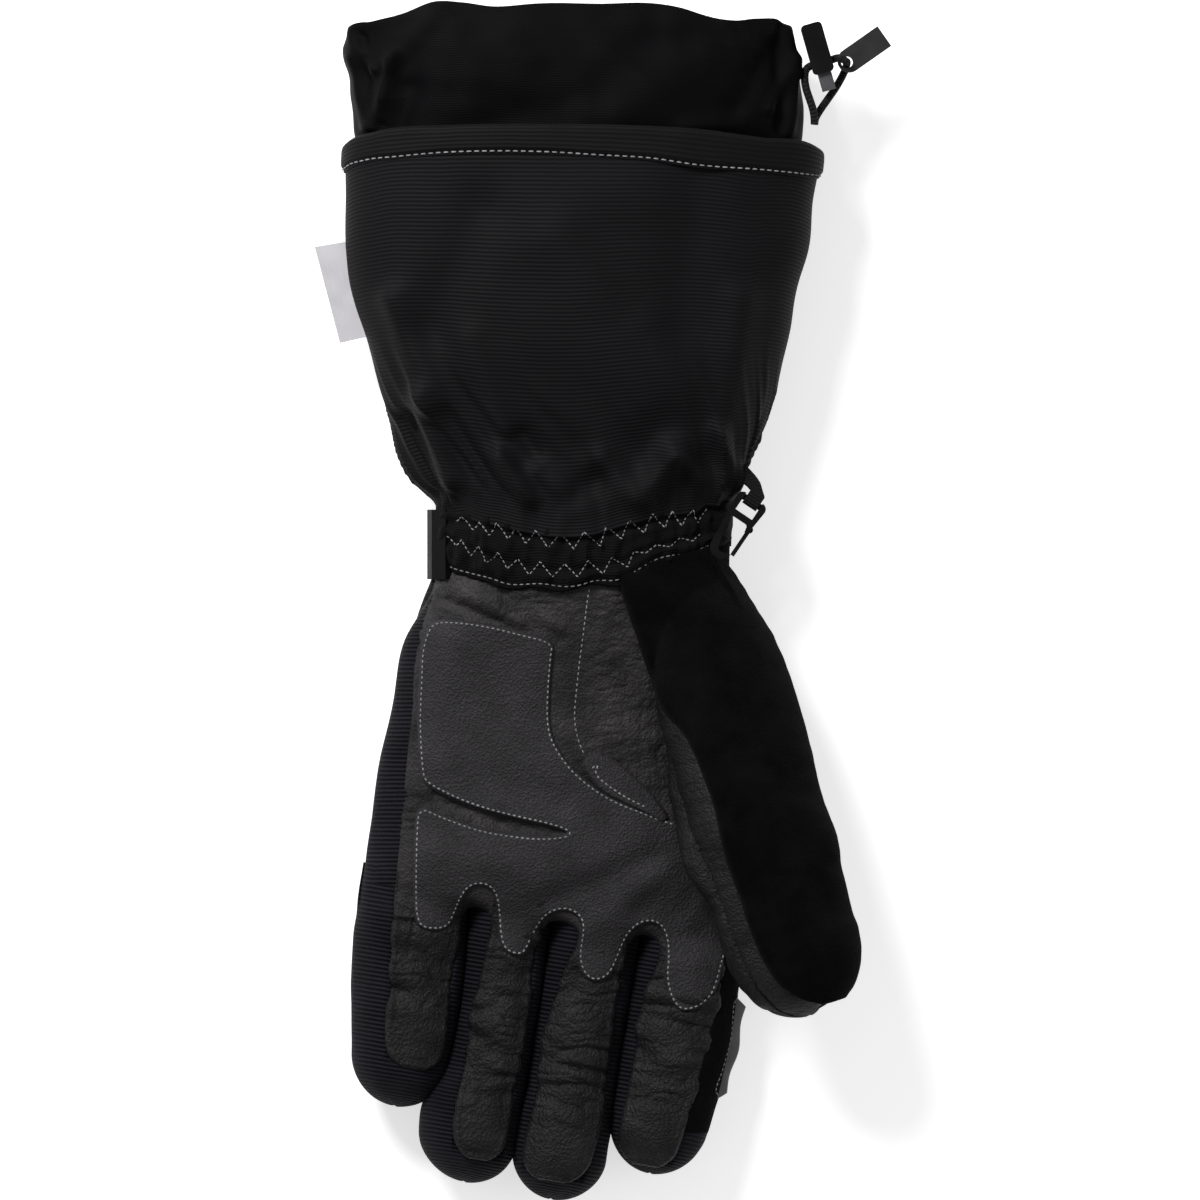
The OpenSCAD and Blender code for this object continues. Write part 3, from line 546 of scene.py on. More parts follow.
# %% The drawcord
RIM = np.array([72.7, 158, 28.36])          # the hem's edge on the thumb's side, in mm
CORD_ROUTE = RIM + np.array([
    [-1.3, 0.3, 1], [-1.1, 2.4, 0.8], [0.9, 5.6, 0.1], [3.3, 9, -0.7], [5.7, 12.4, -1.5],
    [7.7, 15.8, -2.2], [9.1, 18.8, -2.4], [9.5, 20.6, -1.2], [9.5, 21, 1], [9.5, 21, 3.6],
    [9.4, 21.1, 6], [8.5, 21.7, 7.4], [7.2, 22.3, 7], [6.2, 22.4, 5.7], [4.8, 21.9, 4.6],
    [3, 21.4, 4.6], [1, 20.8, 4.6], [-1.1, 20.2, 4.6], [-3.1, 19.6, 4.6], [-4.4, 18.3, 5],
    [-4.7, 15.8, 5.7], [-4.3, 12.6, 6.3], [-3.2, 9.3, 6.5], [-2, 6, 6.3], [-1.4, 3, 5.8],
    [-1.3, 0.3, 5.6],
])
CORD_THICK = 2.6


def tube(name, route, radius, material, sides=16, step_mm=0.5):
    """A closed tube: p(k) + r (cos a side + sin a over), with caps at both ends."""
    p = walk(route, step_mm, round_off=3)
    run = np.gradient(p, axis=0)
    run /= np.linalg.norm(run, axis=1, keepdims=True)
    side = np.zeros_like(p)
    side[0] = np.cross(run[0], [0.3, 0.2, 1.0])
    for k in range(1, len(p)):
        side[k] = side[k - 1] - run[k] * (side[k - 1] @ run[k])
        side[k] /= np.linalg.norm(side[k])
    side[0] = side[1]
    over = np.cross(run, side)
    a = np.arange(sides) * 2 * np.pi / sides
    rings = p[:, None] + radius * (
        np.cos(a)[None, :, None] * side[:, None] - np.sin(a)[None, :, None] * over[:, None])
    last, turn = len(p) - 1, np.arange(sides)
    k, q = [part.ravel() for part in np.meshgrid(np.arange(last), turn, indexing="ij")]
    here, after = k * sides + q, k * sides + (q + 1) % sides
    faces = np.stack([here, after, after + sides, here + sides], 1).tolist()
    faces += [turn[::-1].tolist(), (last * sides + turn).tolist()]
    u = np.stack([q, q + 1, q + 1, q], 1) * 2 * np.pi * radius / sides / 1000
    v = np.stack([k, k, k + 1, k + 1], 1) * step_mm / 1000
    maps = np.concatenate([np.stack([u, v], 2).reshape(-1, 2), np.zeros((2 * sides, 2))])
    return mesh_piece(name, rings.reshape(-1, 3), faces, material, maps)


drawcord = tube("drawcord_braid", CORD_ROUTE, CORD_THICK / 2, cord_braid)
stands_for(drawcord, "cord", "drawcord")
print("drawcord:", len(drawcord.data.polygons), "faces")

# %% [markdown]
# ## The shape of the hand
# The palm's cross-section is a superellipse: its height at a share q of the half width is
# (1 - |q|^2.3)^(1/2.3). Its middle, width and thickness come from a table along Y, as in the CAD
# model. The fingers leave a slanted knuckle line side by side. Their tops blend into the palm's
# over a few millimetres, so one function front(x, y) gives the leather's height anywhere.

# %% Measures of the palm and the fingers
# place along Y, middle across, middle height, half width, half thickness
HAND = [
    [40, -4.7, 21.8, 49.5, 20], [20, -5.3, 21.8, 49, 20], [4, -6, 21.8, 49.6, 20],
    [-13.6, -10.2, 19.6, 55.3, 19.2], [-33.4, -11.7, 17.4, 57.5, 18.5],
    [-54.3, -13.6, 17.4, 60.4, 18.5], [-75.2, -14.7, 17.4, 62, 18.5],
    [-90.6, -15.5, 17.4, 63.2, 18.5], [-106, -16.3, 16.5, 64.4, 15], [-130, -16.3, 16.5, 64.4, 15],
]
PALM_POWER, FINGER_POWER = 2.3, 2.2
FLAT_BACK = 0.94                              # the table flattens the back at this share
KNUCKLE = np.array([-16.3, -106])
KNUCKLE_FROM, KNUCKLE_TO = -3, 8              # where the palm's top blends into the fingers'
TILT = np.radians(9.5)                        # slant of the knuckle line
NAMES = ["little", "ring", "middle", "index"]
FINGER_LONG = np.array([70, 91, 92, 78])
FINGER_BEND = np.array([21, 28, 31, 23])      # its middle joint, from the knuckle line
FINGER_THICK, FINGER_Z, RISE, DOME = 14, 16.5, 0.045, 15
# place along a finger, then its two sides, across the knuckles
FINGER_SIDES = [
    [[-20, -64.4, -27.8], [0, -64.4, -27.7], [36, -61, -25], [56, -57.6, -25.6], [72, -56.4, -26]],
    [[-20, -27, -0.2], [0, -26.9, -0.2], [36, -24.6, 0.9], [54, -26.4, 0.9], [66, -31.3, 0.8],
     [78, -31.2, 1], [93, -29.6, 1.3]],
    [[-20, 0.5, 30.2], [0, 0.6, 30.2], [36, 1.3, 30.2], [67, 1, 30.9], [84, 0.6, 30.7], [94, 0.6, 30]],
    [[-20, 30.8, 64.3], [0, 30.8, 64.4], [36, 30.8, 65.2], [50, 31, 64.2], [67, 31.3, 62.2],
     [80, 31.6, 61.2]],
]


print("rows in the fingers' tables:", [len(table) for table in FINGER_SIDES])

# %% Heights of the palm and the fingers
def bulge(share, power):
    """A superellipse's height, (1 - |share|^power)^(1 / power): 1 in the middle, 0 at the side."""
    return (1 - np.clip(np.abs(share), 0, 1) ** power) ** (1 / power)


def palm_top(x, y):
    """Height of the palm's upper side: its middle height + its half thickness times the bulge."""
    middle, height, wide, thick = read(HAND, y)
    return height + thick * bulge((x - middle) / wide, PALM_POWER)


def lane(x, y):
    """Distance past the knuckle line and across it: the place, turned by the knuckles' slant."""
    dx, dy = x - KNUCKLE[0], y - KNUCKLE[1]
    return -dx * np.sin(TILT) - dy * np.cos(TILT), dx * np.cos(TILT) - dy * np.sin(TILT)


def from_lane(s, across):
    """The place at a distance past the knuckle line and across it."""
    return (KNUCKLE[0] + across * np.cos(TILT) - s * np.sin(TILT),
            KNUCKLE[1] - across * np.sin(TILT) - s * np.cos(TILT))


def finger_top(x, y):
    """Top of the finger whose lane the place is in: its own superellipse, at most 98% across."""
    s, across = lane(x, y)
    sides = [read(table, s) for table in FINGER_SIDES]
    share = np.stack([(2 * across - a - b) / (b - a) for a, b in sides])
    own = np.argmin(np.abs(share), 0)
    share = np.clip(np.take_along_axis(share, own[None], 0)[0], -0.98, 0.98)
    lift = RISE * np.maximum(0, s - FINGER_BEND[own])
    return FINGER_Z + lift + FINGER_THICK * bulge(share, FINGER_POWER)


def front(x, y):
    """Height of the palm side: the palm's top, blending into the fingers' over the knuckles."""
    s, _ = lane(x, y)
    share = step(KNUCKLE_FROM, KNUCKLE_TO, s)
    return palm_top(x, y) * (1 - share) + finger_top(x, y) * share


def on_front(place, lift):
    """Points and outward directions on the palm side, lifted along Z, for a path of (x, y)."""
    x, y = place[:, 0], place[:, 1]
    e = 0.2
    slope_x = (front(x + e, y) - front(x - e, y)) / (2 * e)
    slope_y = (front(x, y + e) - front(x, y - e)) / (2 * e)
    up = np.stack([-slope_x, -slope_y, np.ones_like(x)], 1)
    return np.stack([x, y, front(x, y) + lift], 1), up


def fold(x, y, start, end, height, wide):
    """A ridge of that height along a line between two pixels: h exp(-(d / w)^2), d the distance."""
    a, b = seen(start), seen(end)
    run = b - a
    t = ((x - a[0]) * run[0] + (y - a[1]) * run[1]) / (run @ run)
    t = np.clip(t, 0, 1)
    d2 = (x - a[0] - t * run[0]) ** 2 + (y - a[1] - t * run[1]) ** 2
    return height * np.exp(-d2 / wide**2)


print("palm top at its middle:", float(np.round(front(-14.0, -50.0), 2)), "mm")

# %% [markdown]
# ## The palm leather
# One piece of goatskin covers the palm from under the wrist band to the knuckles. Its lower edge
# is cut in arches round the roots of the fingers, where the ribbed cloth starts. It is a grid whose
# rows end on that edge. Folds near the wrist and creases are added to its height.

# %% The palm leather
# place along Y, the leather's edge on the little finger's side, its edge on the thumb's side
LEATHER_EDGES = [
    [20, -52.5, 10], [8, -55.8, 12], [0, -59, 14], [-6.7, -61.2, 17], [-16.7, -62.2, 21],
    [-33.3, -63.2, 27], [-50, -64.3, 33], [-66.7, -66, 38], [-83.3, -67.5, 42],
    [-100, -68.7, 45], [-117, -70, 46.4], [-140, -71, 46.4],
]
INDEX_FROM = 30.6                             # where the index finger starts, across the knuckles
ARCHES = np.array([-24.8, 3.6, 31.8])         # middles of the cut arches, across the knuckles
ARCH_HALF = np.array([4.7, 5.8, 5])
WRIST_FOLDS = [
    ((434, 582), (520, 622), 1.5, 2.2), ((450, 579), (560, 628), 1.2, 2.6),
    ((440, 598), (500, 622), -1.2, 1.6), ((505, 597), (560, 640), -1.0, 2.4),
    ((610, 600), (600, 640), 0.5, 3), ((590, 720), (650, 740), 0.6, 4),
]
SLIT_HOLLOWS = [((436, 797), (500, 822), -1.5, 2.6), ((500, 822), (556, 833), -0.9, 2)]
PALM_FOLDS = [
    ((540, 905), (650, 858), -0.9, 4.5), ((585, 930), (690, 868), 0.9, 5),
    ((640, 905), (712, 850), -0.9, 4), ((690, 920), (722, 880), 0.7, 4),
    ((430, 850), (500, 862), 0.5, 6), ((450, 640), (440, 760), 0.6, 6),
    ((530, 700), (540, 640), 0.5, 5), ((480, 780), (560, 800), -0.5, 6),
]
PALM_FOLD_DEPTH = 1.7                         # what the heights of PALM_FOLDS are multiplied by


def slow_palm(x, y):
    """What the palm's leather and its patch have in common: folds and slow unevenness."""
    folds = sum(fold(x, y, *f) for f in WRIST_FOLDS)
    folds = folds + PALM_FOLD_DEPTH * sum(fold(x, y, *f) for f in PALM_FOLDS)
    return folds + 0.35 * uneven(x, y, 17, 3)


def palm_relief(x, y):
    """What stands on the smooth palm: folds by the wrist, slow unevenness and fine creases."""
    out = slow_palm(x, y) + sum(fold(x, y, *f) for f in SLIT_HOLLOWS)
    near_thumb = step(-14, 6, x) * step(-78, -55, y) * step(2, -20, y)
    near_wrist = step(-16, 0, y)
    in_slit = step(-60, -65, y) * step(-82, -76, y) * step(-12, -20, x)
    fine = creased(y, x, 2.2, 5, 0.3) + 0.6 * creased(y, x, 1.2, 6, 0.35)
    return out + fine * (0.1 + 0.3 * near_thumb + 0.32 * near_wrist + 0.3 * in_slit)


def knuckle_edge(across):
    """How far the palm's leather runs past the knuckle line: 4 mm, and less in each arch."""
    d = np.clip(np.abs(across[..., None] - ARCHES) / ARCH_HALF, 0, 1).min(-1)
    return 0.4 + 3.6 * (1 - np.sqrt(1 - d**2))


print("relief in the palm's middle:", float(np.round(palm_relief(-14.0, -50.0), 2)), "mm")

# %% Cutting and laying the palm leather
PALM_FROM, PALM_TO = 18, -104                 # its first and last row, before the arches are cut
v, u = np.meshgrid(np.linspace(0, 1, 200), np.linspace(0, 1, 200), indexing="ij")
y = PALM_FROM + (PALM_TO - PALM_FROM) * v
left, right = read(LEATHER_EDGES, y)
x = right + (left - right) * u
end_x = x[-1] + 0 * x
end_s = knuckle_edge((end_x - KNUCKLE[0]) / np.cos(TILT))
end_y = KNUCKLE[1] - (end_x - KNUCKLE[0]) * np.tan(TILT) - end_s / np.cos(TILT)
y = y + (end_y - y[-1]) * v**2
to_edge = np.minimum(u, 1 - u) * (right - left)
drop = 1.3 * np.exp(-to_edge / 0.7) + 1.5 * np.exp(-(y - end_y) / 0.8)
palm_grid = np.stack([x, y, front(x, y) + 0.3 + palm_relief(x, y) - drop], 2)
palm = cloth("palm_goatskin", palm_grid, goatskin, 1.0)
stands_for(palm, "goat_leather", "palm_leather", "finger_base_leather")
print("palm leather:", len(palm.data.polygons), "faces")

# %% [markdown]
# ## The palm patch
# A heavier, evenly grained piece is sewn on the palm. Its outline was measured from its stitches.
# The patch is a fine grid, and only the cells inside the outline are made. Its height falls below
# the palm's just past the stitches, so its visible edge is a smooth line. The lobe on the index
# finger crosses that finger's joint, so it is a piece of its own.

# %% The outline and the lift of a patch
PATCH_STITCHES = [
    (434, 622), (462, 623), (493, 628), (524, 636), (553, 643), (550, 659), (547, 705), (548, 730),
    (554, 746), (565, 763), (579, 778), (600, 794), (619, 804), (640, 812), (663, 821), (700, 832),
    (738, 866), (738, 905), (728, 940), (720, 966), (715, 986), (709, 997), (699, 1005), (686, 1009),
    (678, 1006), (671, 995), (667, 976), (669, 957), (668, 938), (663, 925), (652, 919), (638, 922),
    (627, 933), (621, 946), (614, 964), (608, 974), (598, 979), (589, 977), (582, 967), (580, 952),
    (583, 937), (584, 920), (575, 910), (562, 907), (548, 912), (539, 922), (531, 937), (526, 948),
    (522, 953), (512, 952), (504, 946), (501, 933), (500, 914), (498, 897), (493, 887), (483, 882),
    (470, 884), (461, 895), (455, 910), (450, 922), (444, 927), (434, 928), (422, 926), (418, 918),
    (416, 902), (417, 837), (419, 807), (439, 816), (462, 825), (485, 832), (510, 836), (535, 839),
    (562, 838), (571, 834), (568, 829), (550, 823), (527, 818), (501, 812), (474, 804), (447, 793),
    (426, 781), (423, 772), (420, 724), (422, 682), (423, 652), (427, 636),
]
PATCH_MARGIN, PATCH_LIFT = 1.1, 1.2           # from the stitches to the edge, and its height
LOBE_FROM, LOBE_UNDER = 12.5, 11.4            # past the knuckle line: the patch ends, the lobe starts
INDEX, JOINT_HEIGHT = 3, 0.0195               # the index finger's number, and its joint in metres
SOFT_HALF = 8                                 # the joint's two points lie this far before and after the finger's middle joint


def from_outline(x, y, outline):
    """Signed distance to a closed outline, below 0 inside: nearest edge, signed by edges crossed."""
    a, b = outline, np.roll(outline, -1, 0)
    nearest = np.full(x.shape, 1e9)
    crossed = np.zeros(x.shape, int)
    for (ax, ay), (bx, by) in zip(a, b):
        rx, ry = bx - ax, by - ay
        t = np.clip(((x - ax) * rx + (y - ay) * ry) / (rx * rx + ry * ry + 1e-12), 0, 1)
        nearest = np.minimum(nearest, np.hypot(x - ax - t * rx, y - ay - t * ry))
        level = (ay > y) != (by > y)
        crossed += level & (x < ax + (y - ay) * rx / (ry + 1e-12 * (ry == 0)))
    return np.where(crossed % 2, -nearest, nearest)


def patch_top(x, y, d, lift):
    """Height of a patch at a distance d from its edge: a quarter round, and sunk past the edge."""
    rounded = 1 - np.clip(1 + d, 0, 1) ** 2
    height = front(x, y) + 0.3 + slow_palm(x, y) + lift * rounded - 0.5 * step(-0.5, 0.6, d)
    return height + 0.05 * creased(y, x, 3, 9, 0.2)


def patch_grid(box, gap, outline, lift):
    """A grid over a box (x0, x1, y0, y1), lifted inside the outline, and which cells it keeps."""
    x0, x1, y0, y1 = box
    y, x = np.meshgrid(np.arange(y1, y0, -gap), np.arange(x1, x0, -gap), indexing="ij")
    d = from_outline(x, y, outline) - PATCH_MARGIN
    height = patch_top(x, y, d, lift)
    inside = d < 0.5
    keep = inside[:-1, :-1] & inside[1:, :-1] & inside[:-1, 1:] & inside[1:, 1:]
    return np.stack([x, y, height], 2), keep


patch_line = walk(seen(PATCH_STITCHES), 1.0, closed=True)
print("the patch's stitches are", len(patch_line), "mm long")

# %% The patch and its lobe
grid, keep = patch_grid((-63, 48, -137, -6), 0.42, patch_line, PATCH_LIFT)


def on_lobe(x, y, start=LOBE_FROM):
    """Whether places lie on the index finger, further than start past the knuckle line."""
    s, across = lane(x, y)
    return (s > start) & (across > INDEX_FROM)


def finger_joint(i):
    """The joint's finger, and two points on finger i in metres, SOFT_HALF before and after its middle
    joint.
    """
    ends = []
    for s in (FINGER_BEND[i] - SOFT_HALF, FINGER_BEND[i] + SOFT_HALF):
        a, b = read(FINGER_SIDES[i], s)
        x, y = from_lane(s, (a + b) / 2)
        ends.append((float(x) / 1000, float(y) / 1000, JOINT_HEIGHT))
    return (f"{NAMES[i]}_finger", *ends)


index_joint = finger_joint(INDEX)
x, y = grid[:-1, :-1, 0], grid[:-1, :-1, 1]
patch = cloth("palm_patch_leather", grid, patch_skin, 0.9, keep=keep & ~on_lobe(x, y))
stands_for(patch, "patch_leather", "palm_patch")
lobe = cloth("index_lobe_leather", grid - [0, 0, 0.03], patch_skin, 0.9,
             keep=keep & on_lobe(x, y, LOBE_UNDER))
stands_for(lobe, "patch_leather", joint=index_joint)
print("palm patch:", len(patch.data.polygons), "faces, index lobe:", len(lobe.data.polygons))

# %% The patch's stitches
def patch_seam(name, line, joint=None):
    """A row of the patch's fine stitches along a line that lies on it."""
    _, up = on_front(line, 0)
    top = patch_top(line[:, 0], line[:, 1], np.full(len(line), -PATCH_MARGIN), PATCH_LIFT) + 0.06
    row = seam(name, np.column_stack([line, top]), up, thread, **FINE_STITCH)
    stands_for(row, "patch_leather", joint=joint)


on_index = on_lobe(patch_line[:, 0], patch_line[:, 1])
first = int(np.argmax(on_index))
patch_line, on_index = np.roll(patch_line, -first, 0), np.roll(on_index, -first)
patch_seam("palm_patch_stitches", patch_line[~on_index])
patch_seam("index_lobe_stitches", patch_line[on_index], index_joint)
print("stitched the patch round", len(patch_line), "mm of outline")

# %% [markdown]
# ## The back and the sides of the hand
# Ribbed softshell covers the back, and a strip of it shows along the little finger's side. These
# pieces follow the hand's whole section: x = m + w c^(2/p) and z = h + t s^(2/p) for the cosine c
# and sine s of an angle, flat below where the hand lies on the table.

# %% Softshell round the hand
def section(middle, height, wide, thick, angle, power):
    """Across and up for an angle round a superellipse, flat below at 94% of its half thickness."""
    c, s = np.cos(angle), np.sin(angle)
    across = middle + wide * np.sign(c) * np.abs(c) ** (2 / power)
    up = thick * np.sign(s) * np.abs(s) ** (2 / power)
    return across, height + np.maximum(up, -FLAT_BACK * thick)


def edge_angle(share, power):
    """The angle at which a section has that share of its half width, on its upper side."""
    return np.arccos(np.sign(share) * np.abs(share) ** (power / 2))


def hand_ring(y, angle, inset=0.0):
    """Points round the hand at places along Y, all a little inside the CAD model's surface."""
    middle, height, wide, thick = read(HAND, y)
    x, z = section(middle, height, wide - inset, thick - inset, angle, PALM_POWER)
    return np.stack([x, y, z], 2)


def mesh_of(along, first, last, count):
    """Grids of a row value and of an angle that runs from first to last on every row."""
    u = np.linspace(0, 1, count)[None]
    first, last = np.broadcast_to(first, along.shape), np.broadcast_to(last, along.shape)
    return np.repeat(along[:, None], count, 1), first[:, None] * (1 - u) + last[:, None] * u


def around(along, count):
    """Grids of a row value and of an angle all the way round, for pieces that are rings."""
    return mesh_of(along, 0.0, 2 * np.pi * (1 - 1 / count), count)


def slanted(grid):
    """The same grid, sheared so that its last rows run along the slanted knuckle line."""
    share = step(-40, -106, grid[..., 1])
    grid = grid.copy()
    grid[..., 1] -= (grid[..., 0] - KNUCKLE[0]) * np.tan(TILT) * share
    return grid


WRIST = 20                                    # where the hand's layers start, under the band
UNDER_LEATHER = {"left": 2.5, "right": -3}    # how far the side cloths reach under the leather
HAND_RADIUS = 40                              # turns an angle into a rough length round the hand


def leather_angle(y, edge):
    """The angle round the hand at which a side cloth ends, under the left or the right edge."""
    middle, _, wide, _ = read(HAND, y)
    across = read(LEATHER_EDGES, y)[edge == "right"] + UNDER_LEATHER[edge]
    return edge_angle(np.clip((across - middle) / wide, -0.99, 0.99), PALM_POWER)


print("the leather's edges at y = 0 lie at", np.round(read(LEATHER_EDGES, 0.0), 1).tolist(), "mm")

# %% Layers of the hand
y = np.linspace(WRIST, -104, 180)
place, angle = mesh_of(y, leather_angle(y, "left"), np.radians(222), 90)
grid = hand_ring(place, angle, 0.2)
tuck = 0.7 * step(-92, -104, place)
grid = lifted(grid, 0.25 * uneven(grid[..., 1], angle * HAND_RADIUS, 14, 11) - tuck)
outer_side = cloth("outer_side_softshell", grid, softshell, 1.0)
stands_for(outer_side, "softshell", "outer_side_gusset")

place, angle = mesh_of(np.linspace(WRIST, -107, 120), np.radians(195), np.radians(338), 110)
back = cloth("back_softshell_cloth", slanted(hand_ring(place, angle, 0.6)), softshell, 1.0)
stands_for(back, "softshell", "back_softshell", "finger_base_fourchettes")

y = np.linspace(WRIST, -106, 110)
place, angle = mesh_of(y, np.radians(-50), leather_angle(y, "right"), 90)
inner_side = cloth("index_side_suede", slanted(hand_ring(place, angle, 0.4)), black_suede, 1.0)
stands_for(inner_side, "suede", "index_side_gusset")

# name, depth below the outside, thickness, finish, slot, CAD nodes
HAND_LAYERS = [
    ("hand_wadding", 3.6, 2.6, wadding, "insulation", ["hand_insulation"]),
    ("hand_fleece", 6.6, 0.9, fleece, "fleece", ["hand_lining", "finger_base_lining"]),
]
for name, inset, thick, material, slot, nodes in HAND_LAYERS:
    place, angle = around(np.linspace(6, -98, 70), 80)
    grid = slanted(hand_ring(place, angle, inset))
    lumps = 0.25 * np.abs(uneven(grid[..., 1], angle * HAND_RADIUS, 9, 4))
    stands_for(cloth(name, lifted(grid, -lumps, True), material, thick, ring=True), slot, *nodes)
print("hand: softshell, suede, wadding and fleece")

# %% [markdown]
# ## The fingers
# Each finger is a closed tube of ribbed softshell with a rounded end, a goatskin front sewn on it,
# and wadding and fleece inside.

# %% Measures of the leather fronts
# the leather fronts: place along the finger, then both edges, across the knuckles
FRONT_EDGES = [
    [[-8, -53.4, -29.3], [0, -53, -29.1], [8, -52.4, -28.7], [34, -49.8, -27.9], [50, -48, -27.6],
     [58, -46.5, -27.6]],
    [[-8, -20, -2.2], [0, -20, -2.2], [8, -19.9, -2.3], [31, -21.5, -1.5], [63, -21.6, -1.8],
     [84, -20.5, -1.9]],
    [[-8, 9.6, 26.8], [0, 9.6, 26.8], [7, 9.1, 26.9], [16, 6.6, 26.8], [27, 4.4, 26.8], [60, 3.6, 28],
     [72, 3.2, 27.3], [87, 2.8, 26]],
    [[-8, 37, 60.5], [0, 37, 60.5], [8, 36.6, 60.6], [20, 34.3, 60.7], [54, 34, 57.4], [66, 34, 55.2],
     [77, 34.5, 54.5]],
]
FRONT_ENDS = [57.3, 83.4, 86.4, 76]
FRONT_ROUND = [9, 12, 11, 10]
TUCK = 2.4                                    # the tube's root goes this far up under the hand
SINK = 2.1                                    # and the tube this far down under its leather
FINGER_RADIUS = 16                            # turns an angle into a rough length round a finger
print("the fronts end", FRONT_ENDS, "mm past the knuckle line")

# %% Rings and rows of a finger
def finger_size(i, s, inset=0.0):
    """Middle, half width, height and half thickness along finger i, closing over DOME at its end."""
    a, b = read(FINGER_SIDES[i], s)
    past = np.clip((s - FINGER_LONG[i] + DOME) / (DOME - inset), 0, 1)
    small = np.sqrt(1 - past**2)
    height = FINGER_Z + RISE * np.maximum(0, s - FINGER_BEND[i])
    return (a + b) / 2, ((b - a) / 2 - inset) * small, height, (FINGER_THICK - inset) * small


def to_tip(first, end, dome, count, inset, gap):
    """Places along a finger from first on, and count of them over the dome that closes its end."""
    turn = np.linspace(0, np.radians(87), count + 1)[1:]
    round_end = end - dome + (dome - inset) * np.sin(turn)
    return np.concatenate([np.arange(first, end - dome, gap), round_end])


def finger_ring(i, s, angle, inset=0.0):
    """Points round finger i: its section, placed past the slanted knuckle line."""
    middle, wide, height, thick = finger_size(i, s, inset)
    across, z = section(middle, height, wide, thick, angle, FINGER_POWER)
    x, y = from_lane(s, across)
    return np.stack([x, y, z], 2)


def finger_front(i, s, across):
    """Height of the leather on finger i, from the palm's top to the finger's over the knuckles."""
    middle, wide, height, thick = finger_size(i, s)
    x, y = from_lane(s, across)
    own = height + thick * bulge((across - middle) / np.maximum(wide, 0.1), FINGER_POWER)
    share = step(KNUCKLE_FROM, KNUCKLE_TO, s)
    return np.stack([x, y, palm_top(x, y) * (1 - share) + own * share], 2)


def tongue(i):
    """Places on the leather front of finger i: rows that shorten to an arc at its end."""
    end, bend_in = FRONT_ENDS[i], FRONT_ROUND[i]
    turn = np.sin(np.linspace(0, np.radians(89), 34))
    s = np.concatenate([np.arange(-7.0, end - bend_in, 0.5), end - bend_in + bend_in * turn])
    a, b = read(FRONT_EDGES[i], s)
    past = np.clip((s - end + bend_in) / bend_in, 0, 1)
    half = (b - a) / 2 * (1 - past**2.4) ** (1 / 2.4)
    u = np.linspace(1, -1, 96)[None]
    return np.repeat(s[:, None], 96, 1), ((a + b) / 2)[:, None] + half[:, None] * u, half


print("the middle finger's leather is", round(float(tongue(2)[2].max()) * 2, 1), "mm wide")

# %% The outside of a finger
def softshell_tube(i):
    """The finger's own ring, puffed at its sides, kept under the palm and under its leather."""
    place, angle = around(to_tip(-8, FINGER_LONG[i], DOME, 23, 0, 0.9), 84)
    upper = np.sin(angle) > 0
    puff = 0.3 * uneven(place, angle * FINGER_RADIUS, 8, 20 + i) * step(0, 12, place)
    puff = 0.55 * np.abs(np.cos(angle)) ** 2 + puff
    puff = puff - TUCK * step(5, -7, place) * step(0.2, -0.5, np.sin(angle))
    grid = lifted(finger_ring(i, place, angle), puff, True)
    ceiling = front(grid[..., 0], grid[..., 1]) - 0.35
    covered = step(9, 5, place) * upper
    grid[..., 2] += (np.minimum(grid[..., 2], ceiling) - grid[..., 2]) * covered
    left, right = read(FRONT_EDGES[i], place)
    _, across = lane(grid[..., 0], grid[..., 1])
    under = step(0.3, 2.5, across - left) * step(0.3, 2.5, right - across) * upper
    grid[..., 2] -= SINK * under * step(FRONT_ENDS[i] - 0.5, FRONT_ENDS[i] - 4, place)
    return grid


def leather_front(i):
    """The tongue with its rolled edge and a lip beside it, creased where the finger folds."""
    place, across, half = tongue(i)
    to_edge = np.minimum(half[:, None] - np.abs(across - across.mean(1, keepdims=True)),
                         (FRONT_ENDS[i] - place) * 1.4)
    rolled = 0.95 - 1.5 * np.exp(-np.maximum(to_edge, 0) / 0.55)
    lip = 0.45 * np.exp(-(((to_edge - 1.9) / 1.0) ** 2)) * step(2, 10, place)
    pad = step(FRONT_ENDS[i] - 26, FRONT_ENDS[i] - 12, place)
    crease = 1.1 * creased(place, across / 1.5, 6.5, 30 + i, 0.42)
    crease = crease + 1.0 * uneven(place, across / 2.5, 6.5, 55 + i)
    crease = crease + 0.45 * creased(place, across, 3.1, 35 + i, 0.3)
    crease = crease + 0.2 * creased(place, across, 1.5, 40 + i, 0.16)
    pucker = 0.18 * uneven(place * 3, across * 0.6, 4.5, 50 + i) * np.exp(-to_edge / 3)
    lift = rolled + lip + (crease * (1 - 0.75 * pad) + pucker + 0.3) * step(1, 9, place)
    flat = step(3, -1, place) * np.minimum(0.25, rolled) + step(-1, 3, place) * lift
    return lifted(finger_front(i, place, across), flat)


print("a tube's grid:", softshell_tube(0).shape)

# %% The inside, and the four fingers
def inner_layer(name, grid, thick, joint, *nodes):
    """Wadding or fleece inside a finger, closed at its tip."""
    soft = name.endswith("wadding")
    piece = cloth(name, grid, wadding if soft else fleece, thick, ring=True, pole=True)
    stands_for(piece, "insulation" if soft else "fleece", *nodes, joint=joint)


